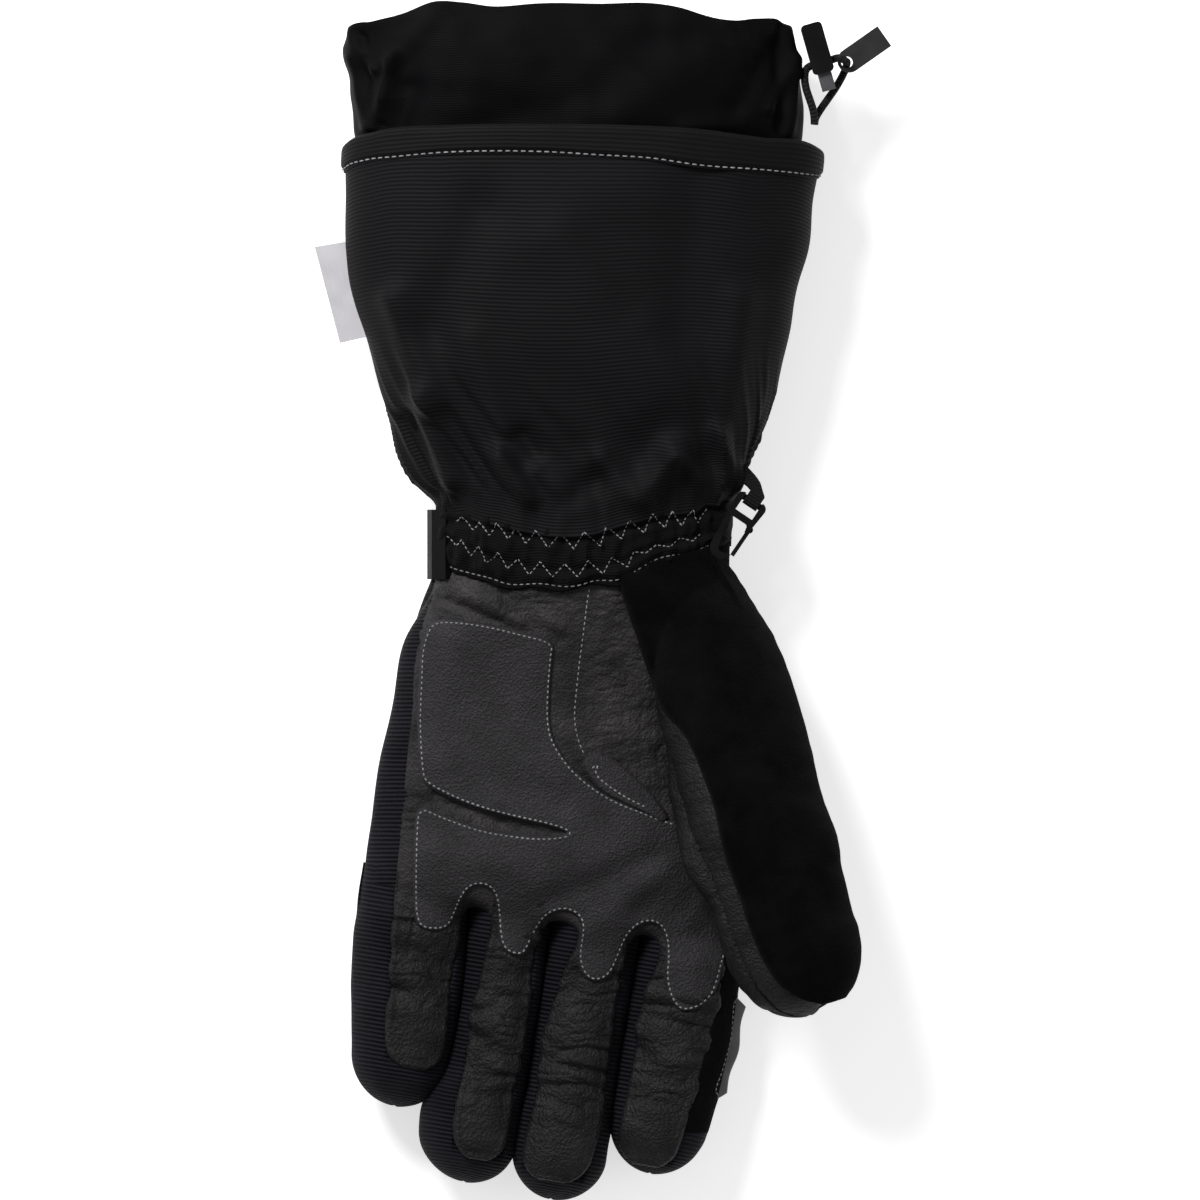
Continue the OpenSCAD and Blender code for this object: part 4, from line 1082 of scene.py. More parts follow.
# layer, depth below the outside, thickness, endings of its CAD nodes' names
FINGER_LAYERS = [("wadding", 3.2, 1.7, ["insulation"]), ("fleece", 5.0, 0.8, ["lining", "bend"])]
for i, name in enumerate(NAMES):
    joint = finger_joint(i)
    grid = softshell_tube(i)
    tube_piece = cloth(f"{name}_softshell_tube", grid, softshell, 0.8, ring=True, pole=True)
    stands_for(tube_piece, "softshell", f"{name}_softshell", joint=joint)
    leather_piece = cloth(f"{name}_leather_front", leather_front(i), finger_skin, 0.9)
    stands_for(leather_piece, "finger_leather", f"{name}_leather", joint=joint)
    for layer, inset, thick, endings in FINGER_LAYERS:
        place, angle = around(to_tip(9, FINGER_LONG[i], DOME, 23, inset, 1.6), 48)
        ring = finger_ring(i, place, angle, inset)
        inner_layer(f"{name}_{layer}", ring, thick, joint, *[f"{name}_{ending}" for ending in endings])
print("fingers:", ", ".join(NAMES))

# %% [markdown]
# ## The index finger's side
# A strip of suede covers the thumb's side of the index finger, and a grey rubber guard is moulded
# on it: a raised bar in facets with bevelled edges and two swellings.

# %% The suede strip
STRIP_START, STRIP_END = -10, 63


def index_angle(s, across, most):
    """The angle round the index finger of a place across it, kept within a share of its width."""
    middle, wide, _, _ = finger_size(INDEX, s)
    return edge_angle(np.clip((across - middle) / wide, -most, most), FINGER_POWER)


s = np.arange(STRIP_START, STRIP_END + 1, 0.7)
start = index_angle(s, read(FRONT_EDGES[INDEX], s)[1] - 1.8, 0.98)
place, angle = mesh_of(s, np.radians(-52), start, 70)
away = np.minimum(place - STRIP_START, STRIP_END - place)
away = np.maximum(np.minimum(away, (start[:, None] - angle) * FINGER_RADIUS), 0)
lift = 0.75 - 0.9 * np.exp(-away / 0.5) + 0.15 * uneven(place, angle * FINGER_RADIUS, 6, 71)
grid = lifted(finger_ring(INDEX, place, angle), lift - 2.2 * step(2, -9, place))
strip = cloth("index_suede_strip", grid, black_suede, 0.9)
stands_for(strip, "suede", "index_side_panel", joint=index_joint)
print("suede strip:", len(strip.data.polygons), "faces")

# %% The rubber guard
GUARD_START, GUARD_END = 15.8, 50.5
GUARD_MIDDLE, GUARD_HALF = -11, 25            # degrees round the finger
edges = np.radians([GUARD_MIDDLE - GUARD_HALF, GUARD_MIDDLE + GUARD_HALF])
place, angle = mesh_of(np.linspace(GUARD_START, GUARD_END, 120), *edges, 60)
t = (place - GUARD_START) / (GUARD_END - GUARD_START)
a = (np.degrees(angle) - GUARD_MIDDLE) / GUARD_HALF
bevel = np.clip(np.minimum(np.minimum(t, 1 - t) * 12, (1 - np.abs(a)) * 2.6), 0, 1)
swell = 3.4 + 0.5 * np.cos(4 * np.pi * t) - 0.9 * t
grid = lifted(finger_ring(INDEX, place, angle), 0.3 + bevel * swell)
guard = cloth("index_guard_rubber", grid, guard_rubber, 1.2)
stands_for(guard, "guard_rubber", "index_rubber_guard", joint=index_joint)

GUARD_STITCHES = [(742, 992), (731, 1000), (730, 1019), (728, 1040), (723, 1058), (719, 1073),
                  (714, 1085), (713, 1092), (717, 1098)]
line = walk(seen(GUARD_STITCHES), 0.4)
s, across = lane(line[:, 0], line[:, 1])
angle = index_angle(s, across, 0.97)
up = np.column_stack([np.cos(angle), 0 * angle, np.sin(angle)])
path = finger_ring(INDEX, s[:, None], angle[:, None])[:, 0] + 1.1 * up
stands_for(seam("guard_stitches", path, up, thread, **FINE_STITCH), "suede", joint=index_joint)
print("index side:", strip.name, guard.name)

# %% [markdown]
# ## The thumb
# The thumb is a closed tube of goatskin. A large suede panel covers its top from the wrist to the
# tip and wraps round its outer side. Its inner edge runs from the palm up onto the thumb, so its
# height is the higher of the palm and the tube, rounded where they meet: (a + b + root) / 2, with
# root the square root of (a - b)^2 + k^2.

# %% Shape of the thumb
THUMB_ROOT, THUMB_LEAN = np.array([30.5, 4.0]), np.radians(15.5)
THUMB_END, THUMB_DOME, THUMB_HALF, THUMB_THICK = 147.4, 26, 22.5, 16
THUMB_BENDS = 61.0, 77.0                      # its soft zone, along it
THUMB_RADIUS = 19                             # turns an angle into a rough length round the thumb
# place along the thumb, the suede's inner edge across it
SUEDE_EDGE = [
    [-14, -23.4], [-6, -23], [10, -22.2], [24, -21.4], [36.8, -20.8], [46.4, -16.2], [52.7, -14.8],
    [61.3, -13.7], [71.4, -13.1], [86.8, -13.5], [103.1, -12.5], [116.2, -12.3], [126.8, -10.5],
    [135.1, -6.9], [141.1, -1.2], [144.6, 4.6],
]
# place along the thumb, the angle round it at which its seam lies, in degrees
THUMB_SEAM = [[60, 182], [75, 174], [83, 162], [100, 150], [127, 139], [148, 137]]


def thumb_size(s, inset=0.0):
    """Half width, height and half thickness along the thumb, whose root is narrower."""
    past = np.clip((s - THUMB_END + THUMB_DOME) / (THUMB_DOME - inset), 0, 1)
    small = np.sqrt(1 - past**2)
    root = np.where(s < 45, 0.6 + 0.4 * np.sin(np.radians(2 * s)), 1)
    height = 24 + 0.245 * np.clip(s, 0, 81)
    return (THUMB_HALF * root - inset) * small, height, (THUMB_THICK - inset) * small


def on_thumb(s, across):
    """The place at a distance along the thumb and across it."""
    return (THUMB_ROOT[0] + s * np.sin(THUMB_LEAN) + across * np.cos(THUMB_LEAN),
            THUMB_ROOT[1] - s * np.cos(THUMB_LEAN) + across * np.sin(THUMB_LEAN))


def thumb_ring(s, angle, inset=0.0):
    """Points round the thumb: its section, turned by the thumb's lean."""
    wide, height, thick = thumb_size(s, inset)
    across, z = section(0, height, wide, thick, angle, FINGER_POWER)
    x, y = on_thumb(s, across)
    return np.stack([x, y, z], 2)


def in_metres(s):
    """A place on the thumb's middle line, for its joint."""
    x, y = on_thumb(s, 0.0)
    return float(x) / 1000, float(y) / 1000, float(thumb_size(np.array(s))[1]) / 1000


thumb_joint = ("thumb", *[in_metres(s) for s in THUMB_BENDS])
print("thumb bends between", np.round(thumb_joint[1], 4), "and", np.round(thumb_joint[2], 4))

# %% The thumb's leather
place, angle = around(to_tip(30, THUMB_END, THUMB_DOME, 33, 0, 0.8), 120)
inner_face = np.clip(-np.cos(angle), 0, 1)
past_seam = (np.degrees(angle) - read(THUMB_SEAM, place)[0]) / 1.7
web = 5.6 * step(46, 62, place) * step(107, 88, place) * step(-4, 12, past_seam)
web = web * step(250, 205, np.degrees(angle))
relief = 0.45 * creased(place, angle * THUMB_RADIUS, 3.4, 61, 0.3) * inner_face
relief = relief - 1.5 * np.exp(-(past_seam**2))
under_suede = step(0.35, 0.6, np.cos(angle)) * step(-0.9, -0.82, np.sin(angle))
relief = relief + 0.5 * uneven(place, angle * THUMB_RADIUS, 16, 62) + web - 1.2 * under_suede
grid = lifted(thumb_ring(place, angle, 0.2), relief, True)
thumb_skin = cloth("thumb_goatskin", grid, finger_skin, 1.0, ring=True, pole=True)
stands_for(thumb_skin, "goat_leather", "thumb_leather", joint=thumb_joint)
print("thumb leather:", len(thumb_skin.data.polygons), "faces")

# %% The thumb's suede panel
PANEL_EVEN, PANEL_ROUND = 118, 26.6           # its evenly spaced rows, then its rounded end
PANEL_LOW, PANEL_HIGH = np.radians([-64, 42]) # round the thumb's outer side, and the rest lies flat
s = PANEL_EVEN + PANEL_ROUND * np.sin(np.linspace(0.02, np.pi / 2, 44))
s = np.concatenate([np.arange(-12, PANEL_EVEN, 0.8), s])
wide, height, thick = [part[:, None] for part in thumb_size(s)]
side = thumb_ring(*mesh_of(s, PANEL_LOW, PANEL_HIGH, 70))
u = np.linspace(0, 1, 91)[None, 1:]
start = wide * np.cos(PANEL_HIGH) ** (2 / FINGER_POWER)
across = start * (1 - u) + np.asarray(read(SUEDE_EDGE, s)[0])[:, None] * u
x, y = on_thumb(s[:, None], across)
over_thumb = height + thick * bulge(across / wide, FINGER_POWER) - 7 * step(14, -8, s)[:, None]
over_palm = front(x, y) + 0.9
top = (over_thumb + over_palm + np.sqrt((over_thumb - over_palm) ** 2 + 4)) / 2
top = np.where(np.abs(across) < wide * 0.97, np.maximum(top, over_thumb), top)
grid = np.concatenate([side, np.stack([x, y, top], 2)], 1)
to_edge = np.concatenate([np.full(side.shape[:2], 9.0), across - across[:, -1:]], 1)
along = np.broadcast_to(s[:, None], to_edge.shape)
to_edge = np.minimum(to_edge, (s[-1] - along) * 1.6)
rolled = 1.2 - 1.8 * np.exp(-np.maximum(to_edge, 0) / 0.6) + 0.3 * np.exp(-(((to_edge - 2) / 1) ** 2))
x, y = grid[..., 0], grid[..., 1]
relief = 1.0 * uneven(x, y, 13, 66) + 0.25 * uneven(x, y, 4, 67)
outer_face = step(24, 14, np.arange(grid.shape[1]))[None] * step(110, 60, along)
relief = relief + 0.9 * uneven(along, 0 * along, 8, 68) * outer_face
panel = cloth("thumb_suede_panel", lifted(grid, rolled + relief), black_suede, 1.0)
stands_for(panel, "suede", "thumb_suede", "thumb_base_suede", joint=thumb_joint)
print("thumb panel:", len(panel.data.polygons), "faces")

# %% The inside of the thumb
# layer, first row, depth below the outside, thickness, CAD nodes
THUMB_LAYERS = [
    ("wadding", 64, 1.9, 2.7, ["thumb_insulation"]),
    ("fleece", 30, 5.0, 0.8, ["thumb_lining", "thumb_base_lining", "thumb_bend"]),
]
for layer, first, inset, thick, nodes in THUMB_LAYERS:
    place, angle = around(to_tip(first, THUMB_END, THUMB_DOME, 33, inset, 1.6), 60)
    inner_layer(f"thumb_{layer}", thumb_ring(place, angle, inset), thick, thumb_joint, *nodes)
print("thumb:", ", ".join(layer for layer, *_ in THUMB_LAYERS))

# %% [markdown]
# ## The crotch patch and the palm's seam
# A small teardrop of patch leather strengthens the thumb's crotch. One seam of light stitches runs
# from the wrist band down the palm to it.

# %% Teardrop and seam
TEARDROP = [(584, 764), (591, 758), (603, 758), (619, 767), (638, 784), (654, 801), (668, 822),
            (650, 812), (630, 802), (610, 793), (596, 781)]
TEARDROP_STITCHES = [(591, 768), (599, 764), (594, 774), (613, 789), (631, 800), (644, 806)]
PALM_SEAM = [(590, 588), (588, 595), (584, 629), (579, 666), (576, 695), (574, 719), (578, 740),
             (585, 756)]
drop_line = walk(seen(TEARDROP), 0.8, closed=True)
grid, keep = patch_grid((-8, 26, -76, -50), 0.3, drop_line, 0.8)
grid[..., 2] += 1.0                             # it lies over the palm patch's edge
teardrop = cloth("thumb_crotch_leather", grid, patch_skin, 0.9, keep=keep)
stands_for(teardrop, "patch_leather", "thumb_crotch_patch")
print("crotch patch:", len(teardrop.data.polygons), "faces")

# %% Stitches on the palm
PALM_STITCH = {"pitch": 1.9, "dash": 1.25, "girth": 0.2}
# name, pixels, lift above the smooth palm, the folds it follows, stitch, slot
PALM_ROWS = [
    ("crotch_patch_stitches", TEARDROP_STITCHES, 2.15, slow_palm, FINE_STITCH, "patch_leather"),
    ("palm_seam_stitches", PALM_SEAM, 0.36, palm_relief, PALM_STITCH, "goat_leather"),
]
for name, pixels, lift, relief_of, stitch, slot in PALM_ROWS:
    line = walk(seen(pixels), 0.4)
    path, up = on_front(line, lift)
    path[:, 2] += relief_of(line[:, 0], line[:, 1])
    stands_for(seam(name, path, up, thread, **stitch), slot)
print("sewn", ", ".join(name for name, *_ in PALM_ROWS))

# %% [markdown]
# ## The wrist band
# Elastic gathers the glove at the wrist. Two rows of zigzag stitches and a hemmed lower edge press
# valleys into the band, and between them the cloth puffs up in gathers that run along the hand.
# Over the palm the lower edge follows a measured line.

# %% The band's lines, measured
BAND_EDGE = [(424, 545), (433, 557), (446, 567), (475, 579), (493, 583), (507, 589), (542, 588),
             (562, 592), (594, 585), (621, 586), (636, 577), (667, 562), (687, 560), (709, 549),
             (740, 540)]
ROW_ONE = [(459, 522), (466, 517), (476, 530), (482, 522), (492, 535), (499, 523), (510, 539),
           (517, 528), (527, 543), (537, 531), (549, 548), (561, 533), (574, 549), (584, 532),
           (600, 546), (606, 526), (621, 539), (628, 520), (643, 533), (650, 514), (663, 528),
           (670, 511), (680, 526), (689, 510), (696, 523), (704, 509)]
ROW_TWO = [(445, 548), (452, 536), (460, 546), (465, 540), (473, 556), (482, 546), (490, 563),
           (501, 553), (509, 569), (519, 559), (530, 575), (541, 562), (553, 577), (565, 564),
           (578, 577), (588, 561), (603, 574), (611, 558), (627, 567), (633, 552), (645, 553),
           (655, 545), (668, 547), (678, 538), (690, 541), (700, 533)]
HEM_ROW = [(433, 553), (446, 563), (458, 569), (475, 574), (493, 578), (507, 584), (518, 585),
           (542, 583), (562, 587), (579, 586), (594, 580), (620, 581), (641, 567), (662, 556),
           (687, 554), (709, 544)]


def along_at(pixels, x):
    """How far along Y a line of pixels lies, at places across the glove."""
    return read(seen(pixels), x)[0]


def smoothed(pixels):
    """The middle line of a zigzag: the mean of each point and the middle of its neighbours."""
    p = np.asarray(pixels, float)
    middle = 0.5 * p[1:-1] + 0.25 * (p[:-2] + p[2:])
    return np.concatenate([p[:1], middle, p[-1:]])


BAND_LINES = [smoothed(ROW_ONE), smoothed(ROW_TWO), HEM_ROW]
BAND_TOP, BAND_BACK = 38.5, 18


def angles_round(count):
    """One row of angles, evenly spaced all the way round."""
    return np.linspace(0, 2 * np.pi, count, endpoint=False)[None]


def across_at(ring, y, angle):
    """How far across a ring's points lie at one place along Y, to read edge tables with."""
    return ring(np.full_like(angle, y), angle)[..., 0]


def band_low(x, angle):
    """The band's lower edge: measured over the palm, and dipping 10 mm behind it."""
    return np.where(np.sin(angle) > 0, along_at(BAND_EDGE, x), BAND_BACK - 10 * np.sin(angle) ** 2)


print("the band ends at y =", np.round(band_low(0.0, np.radians([90, 270])), 1), "in front and behind")

# %% The band
def band_puff(x, y, angle):
    """Lift of the band: valleys at its rows of stitches, and gathers along the hand."""
    gap = np.min([np.abs(y - along_at(line, x)) for line in BAND_LINES], 0)
    gather = uneven(x, y * 0.18, 2.5, 81) + 0.5 * uneven(x, y * 0.4, 1.4, 82)
    lift = 2 + 1.3 * (1 - np.exp(-((gap / 1.6) ** 2))) * (1 + 0.5 * gather) + 0.85 * gather
    lift = lift - 1.6 * step(1.5, 5, y - along_at(BAND_LINES[0], x))
    return 0.1 + (lift - 0.1) * step(0, 0.45, np.sin(angle))


angle = angles_round(330)
low = band_low(across_at(hand_ring, 20.0, angle), angle)
y = BAND_TOP + (low - BAND_TOP) * np.linspace(0, 1, 90)[:, None]
angle = np.broadcast_to(angle, y.shape)
grid = hand_ring(y, angle)
lift = band_puff(grid[..., 0], y, angle) - 2.0 * np.exp(-(y - low) / 0.7) * (np.sin(angle) > 0)
band = cloth("wrist_band_cloth", lifted(grid, lift, True), band_cloth, 1.0, ring=True)
stands_for(band, "elastic_band", "wrist_elastic_band")
print("wrist band:", len(band.data.polygons), "faces")

# %% The band's stitches
def on_band(pixels, gap, round_off):
    """A path over the band, from pixels, and its outward directions."""
    line = walk(seen(pixels), gap, round_off=round_off)
    x, y = line[:, 0], line[:, 1]
    lift = band_puff(x, y, np.pi / 2) + 0.1 + 0.8 * step(0.2, 1.4, y - along_at(BAND_LINES[0], x))
    e = 0.3
    slope = (palm_top(x + e, y) - palm_top(x - e, y)) / (2 * e)
    up = np.stack([-slope, np.zeros_like(x), np.ones_like(x)], 1)
    up /= np.linalg.norm(up, axis=1, keepdims=True)
    return np.stack([x, y, palm_top(x, y)], 1) + up * lift[:, None], up


ZIGZAG_STITCH = {"pitch": 1.75, "dash": 1.3, "girth": 0.24}
BAND_HEM_STITCH = {"pitch": 2.2, "dash": 1.4, "girth": 0.2}
# name, pixels, gap between the path's points, how often its corners are cut, stitch
BAND_ROWS = [
    ("zigzag_one", ROW_ONE, 0.35, 0, ZIGZAG_STITCH), ("zigzag_two", ROW_TWO, 0.35, 0, ZIGZAG_STITCH),
    ("band_hem_stitches", HEM_ROW, 0.5, 2, BAND_HEM_STITCH),
]
for name, pixels, gap, round_off, stitch in BAND_ROWS:
    path, up = on_band(pixels, gap, round_off)
    stands_for(seam(name, path, up, thread, **stitch), "elastic_band")
print("sewn", ", ".join(name for name, *_ in BAND_ROWS))

# %% [markdown]
# ## The gauntlet
# The gauntlet is one wide tube of cross-ribbed nylon. Near the wrist it is gathered into pleats
# that fade out upwards: ridges that keep their share of the width, so they fan out with the cloth.
# A few long folds seen in the photograph are added where they lie. Its hem is bound, and stitched
# along its lower edge.

# %% The gauntlet's measures
# place along Y, left side, right side, half thickness
GAUNTLET = [
    [160, -84, 72.5, 29], [148, -84.8, 73.4, 29], [131.7, -85, 71, 29], [115, -84.2, 68.6, 28.7],
    [106.7, -83.6, 66.3, 28.4], [98.3, -81.6, 64.2, 28.1], [90, -78.8, 62.8, 27.7],
    [81.7, -75.9, 61.4, 27.3], [65, -71.3, 57.5, 25.6], [56.7, -68.5, 54.4, 24.6],
    [48.3, -65.7, 49.8, 23.6], [40, -61.6, 47, 23.2], [33, -55.5, 44.8, 23], [22, -54.2, 43.8, 22.6],
]
HEM_TOP = [(340, 150), (347, 143), (375, 133), (450, 127), (540, 126), (650, 128), (700, 131),
           (760, 139), (812, 145), (826, 152)]
HEM_STITCHES = [(343, 173), (352, 166), (365, 162), (400, 158), (450, 154), (490, 153), (550, 154),
                (600, 157), (650, 160), (700, 167), (760, 171), (818, 176)]
FOLD_DEPTH = 2.3                              # what the heights of its folds are multiplied by
SLEEVE_POWER = 2.3                            # squareness of the gauntlet's and the cuff's section
MOUTH_AT = 150.0                              # where the mouth's width is read, along Y
GAUNTLET_FOLDS = [
    ((395, 300), (432, 400), 1.6, 5), ((425, 395), (450, 480), 1.8, 4.5),
    ((405, 420), (440, 490), -1.6, 4), ((470, 340), (510, 450), 0.8, 6),
    ((500, 455), (530, 500), 2.0, 3.5), ((520, 440), (560, 505), -1.4, 4),
    ((540, 470), (575, 510), 1.5, 4), ((575, 500), (600, 480), -1.2, 5),
    ((640, 500), (672, 452), 2.4, 5), ((672, 452), (712, 492), 1.4, 5),
    ((600, 460), (640, 505), 1.0, 5), ((560, 240), (640, 400), 1.0, 10),
    ((650, 330), (700, 440), 0.9, 8), ((740, 300), (720, 470), 1.2, 6),
    ((480, 215), (430, 330), -1.0, 9), ((700, 180), (680, 330), -0.8, 10),
    ((715, 430), (735, 500), 1.2, 3),
]


def sleeve_ring(y, angle, inset, left, right, thick, height):
    """Points round a sleeve at places along Y: its sides, half thickness and middle height."""
    wide = (right - left) / 2 - inset
    x, z = section((left + right) / 2, height, wide, thick - inset, angle, SLEEVE_POWER)
    return np.stack([x, y, z], 2)


def gauntlet_ring(y, angle, inset=0.0):
    """The gauntlet lies on the floor, so its middle is as high as its thickness says."""
    left, right, thick = read(GAUNTLET, y)
    return sleeve_ring(y, angle, inset, left, right, thick, thick * FLAT_BACK + 1.1)


def gauntlet_relief(grid, angle):
    """Pleats near the wrist, the long folds over the palm side, and slow unevenness."""
    x, y = grid[..., 0], grid[..., 1]
    grow = step(92, 42, y)
    turn = angle + 0.5 * step(90, 30, y)
    pleat = 1 - np.abs(uneven(turn * 6, y / 60 + 3, 1, 91)) ** 0.7 * 1.4
    small = uneven(turn * 15, y / 26, 1, 92)
    over = step(0, 0.35, np.sin(angle))
    folds = sum(fold(x, y, *f) for f in GAUNTLET_FOLDS)
    ends = step(24, 42, y) * 0.85 + 0.15
    slow = 0.8 * uneven(x, y, 34, 93) + 0.5 * uneven(x * 0.7, y, 15, 94)
    pucker = 0.7 * uneven(x, y * 0.2, 2.6, 95) * step(48, 30, y)
    out = (1.7 * grow * pleat + 0.9 * grow * small) * ends + FOLD_DEPTH * over * folds * ends
    return out + over * pucker + slow * step(155, 140, y)


def hem_top(x, angle):
    """The mouth's edge: measured in front, and 1.2 mm lower behind."""
    return along_at(HEM_TOP, x) - 1.2 * step(0.5, -0.5, np.sin(angle))


print("the mouth is", round(float(np.ptp(read(GAUNTLET, MOUTH_AT)[:2])), 1), "mm wide")

# %% The gauntlet and its lining
GAUNTLET_END = 31                             # its last row behind the hand, under the band
angle = angles_round(290)
mouth = hem_top(across_at(gauntlet_ring, MOUTH_AT, angle), angle)
front_end = along_at(BAND_LINES[0], across_at(hand_ring, 28.0, angle)) + 1.2
wrist_end = GAUNTLET_END + (front_end - GAUNTLET_END) * step(0, 0.3, np.sin(angle))
v = np.linspace(0, 1, 160)[:, None]
y = (mouth - 1.2) * (1 - v) + wrist_end * v
angle = np.broadcast_to(angle, y.shape)
grid = gauntlet_ring(y, angle)
shell = lifted(grid, gauntlet_relief(grid, angle), True)
gauntlet = cloth("gauntlet_nylon_shell", shell, gauntlet_nylon, 1.2, ring=True)
stands_for(gauntlet, "gauntlet_nylon", "gauntlet_shell")
inside = (gauntlet_ring(y, angle, 2.8) - [0, 0, 0.4])[:144:3, ::2]
lining = cloth("gauntlet_lining_cloth", inside, cuff_nylon, 0.6, ring=True)
stands_for(lining, "cuff_nylon", "gauntlet_lining")
print("gauntlet:", len(gauntlet.data.polygons), "faces")

# %% The hem and its stitches
BELOW_SEAM = 1.1                              # the hem goes on this far below its stitches
angle = angles_round(360)
across = across_at(gauntlet_ring, MOUTH_AT, angle)
mouth = hem_top(across, angle)
low = along_at(HEM_STITCHES, across) - BELOW_SEAM
v = np.linspace(0, 1, 40)[:, None]
y = mouth * (1 - v) + low * v
grid = gauntlet_ring(y, np.broadcast_to(angle, y.shape))
near_seam = np.exp(-(((y - low - BELOW_SEAM) / 0.8) ** 2))
lift = 1.5 + 0.25 * uneven(grid[..., 0], y, 9, 97) - 0.8 * near_seam
lift = lift - 1.3 * np.exp(-(mouth - y) / 0.7) - 1.3 * np.exp(-(y - low) / 0.5)
hem = cloth("gauntlet_hem_cloth", lifted(grid, lift, True), hem_nylon, 2.2, ring=True)
stands_for(hem, "binding", "gauntlet_hem")

HEM_STITCH = {"pitch": 2.6, "dash": 1.75, "girth": 0.24}
angle = np.radians(np.arange(2, 360, 0.25))[None]
y = along_at(HEM_STITCHES, across_at(gauntlet_ring, MOUTH_AT, angle))
rows = np.concatenate([y + 0.2, y, y - 0.2])    # the middle row is the path
ring = gauntlet_ring(rows, np.broadcast_to(angle, rows.shape))
up = facing(ring)[1]
stands_for(seam("hem_stitches", ring[1] + up * 0.95, up, thread, **HEM_STITCH), "binding")
print("hem:", len(hem.data.polygons), "faces")

# %% [markdown]
# ## The snow cuff
# A bag of thin plain nylon comes out of the gauntlet and closes with the drawcord. It is crumpled:
# sharp folds at its corners, soft hollows in its middle. Its mouth has a narrow hem.

# %% The cuff's measures
CUFF = [
    [202, -80, 62, 16], [196, -81.4, 63, 18], [190, -83, 64.2, 20.5], [181.7, -84.6, 66, 22.5],
    [173.3, -83.8, 67, 23.6], [165, -82.8, 67.6, 24], [156.7, -82, 67.4, 24], [148, -81, 66.6, 24],
    [118, -78.5, 62.5, 24],
]
CUFF_TOP = [(350, 36), (356, 28), (372, 25), (402, 16), (430, 4), (460, 4), (490, 8), (540, 5),
            (600, 6), (650, 5), (682, 10), (705, 17), (730, 23), (758, 20), (785, 24), (796, 34)]
CUFF_FOLDS = [
    ((350, 32), (374, 72), 1.6, 2.2), ((374, 72), (372, 130), 1.5, 2.4),
    ((362, 40), (378, 125), -1.8, 2.6), ((394, 60), (376, 128), 2.0, 2.4),
    ((394, 60), (440, 12), 1.2, 4), ((352, 60), (366, 128), 1.0, 2.0),
    ((410, 90), (400, 128), -1.6, 4), ((352, 28), (430, 10), 0.8, 2.5),
    ((790, 30), (800, 75), 1.8, 1.8), ((796, 60), (770, 110), 1.6, 2.2),
    ((770, 50), (735, 112), -1.5, 4), ((782, 30), (778, 130), -1.4, 2.4),
    ((795, 75), (788, 135), 1.6, 1.8), ((730, 25), (745, 60), 1.0, 4),
    ((620, 110), (700, 60), 1.3, 9), ((450, 40), (560, 90), 0.9, 10),
    ((560, 110), (480, 125), -1.3, 7), ((700, 40), (640, 40), -0.8, 8),
    ((740, 120), (690, 132), 1.2, 4),
]
CUFF_HEIGHT, CUFF_END = 28.36, 122            # its middle, and its last row inside the gauntlet
CUFF_FOLD_DEPTH = 1.25


def cuff_ring(y, angle):
    """Points round the snow cuff, whose middle stays level."""
    return sleeve_ring(y, angle, 0, *read(CUFF, y), CUFF_HEIGHT)


def cuff_relief(grid, angle):
    """Measured folds, slow noise, and a crumple of 0.5 - |noise|, which has sharp creases."""
    x, y = grid[..., 0], grid[..., 1]
    over = step(0, 0.3, np.sin(angle))
    out = CUFF_FOLD_DEPTH * over * sum(fold(x, y, *f) for f in CUFF_FOLDS)
    out = out + 0.9 * uneven(x, y * 1.2, 22, 101) + 0.6 * uneven(x + y, y - x, 12, 102)
    crumple = 0.5 - np.abs(uneven(x * 0.8 + y, y * 1.1, 16, 103))
    return (out + 0.9 * crumple) * step(150, 158, y) * (0.35 + 0.65 * step(202, 190, y))


print("the cuff is", round(float(np.ptp(read(CUFF, 190.0)[:2])), 1), "mm wide near its mouth")

# %% The snow cuff
angle = angles_round(300)
top = along_at(CUFF_TOP, across_at(cuff_ring, 192.0, angle))
v = np.linspace(0, 1, 130)[:, None] ** 0.9
y = top * (1 - v) + CUFF_END * v
angle = np.broadcast_to(angle, y.shape)
grid = cuff_ring(y, angle)
grid = lifted(grid, cuff_relief(grid, angle), True)
cuff = cloth("snow_cuff_nylon", grid, cuff_nylon, 0.7, ring=True)
stands_for(cuff, "cuff_nylon", "snow_cuff")
rim = grid[:22:2, ::2] - facing(grid, True)[:22:2, ::2] * 0.75
rim[0] += [0, 0.3, 0]
stands_for(cloth("snow_cuff_inner_hem", rim, cuff_nylon, 0.8, ring=True), "cuff_nylon", "snow_cuff_hem")
print("snow cuff:", len(cuff.data.polygons), "faces")

# %% [markdown]
# ## Label, strap and webbing
# The blank satin label is folded double and sewn into the gauntlet's side seam. A strap of webbing
# goes round the back of the wrist and ends under the moulded tab. A loop of webbing goes round the
# snap hook's bar, and its tail runs up to the side seam.

# %% The label
LABEL_CORNERS = [(316, 247), (352, 241), (372, 336), (341, 343)]
outer_top, inner_top, inner_low, outer_low = seen(LABEL_CORNERS)
LEAF_GAP = 0.35                                # half the space between the label's two leaves
LABEL_HEIGHT = 27.6
out = np.linspace(0, 1, 26)
turn = np.linspace(np.pi / 2, -np.pi / 2, 9)[1:-1]
u = np.concatenate([out, 1 + 0.03 * np.cos(turn), out[::-1]])
rise = LEAF_GAP * np.concatenate([np.ones(26), np.sin(turn), -np.ones(26)])
v, u = np.meshgrid(np.linspace(0, 1, 60), u, indexing="ij")
top = inner_top + (outer_top - inner_top) * u[..., None]
low = inner_low + (outer_low - inner_low) * u[..., None]
lift = LABEL_HEIGHT - 1.6 * u**2 + 0.5 * np.sin(3 * v + 1.5) * u + 0.12 * uneven(u * 12, v * 30, 5, 111)
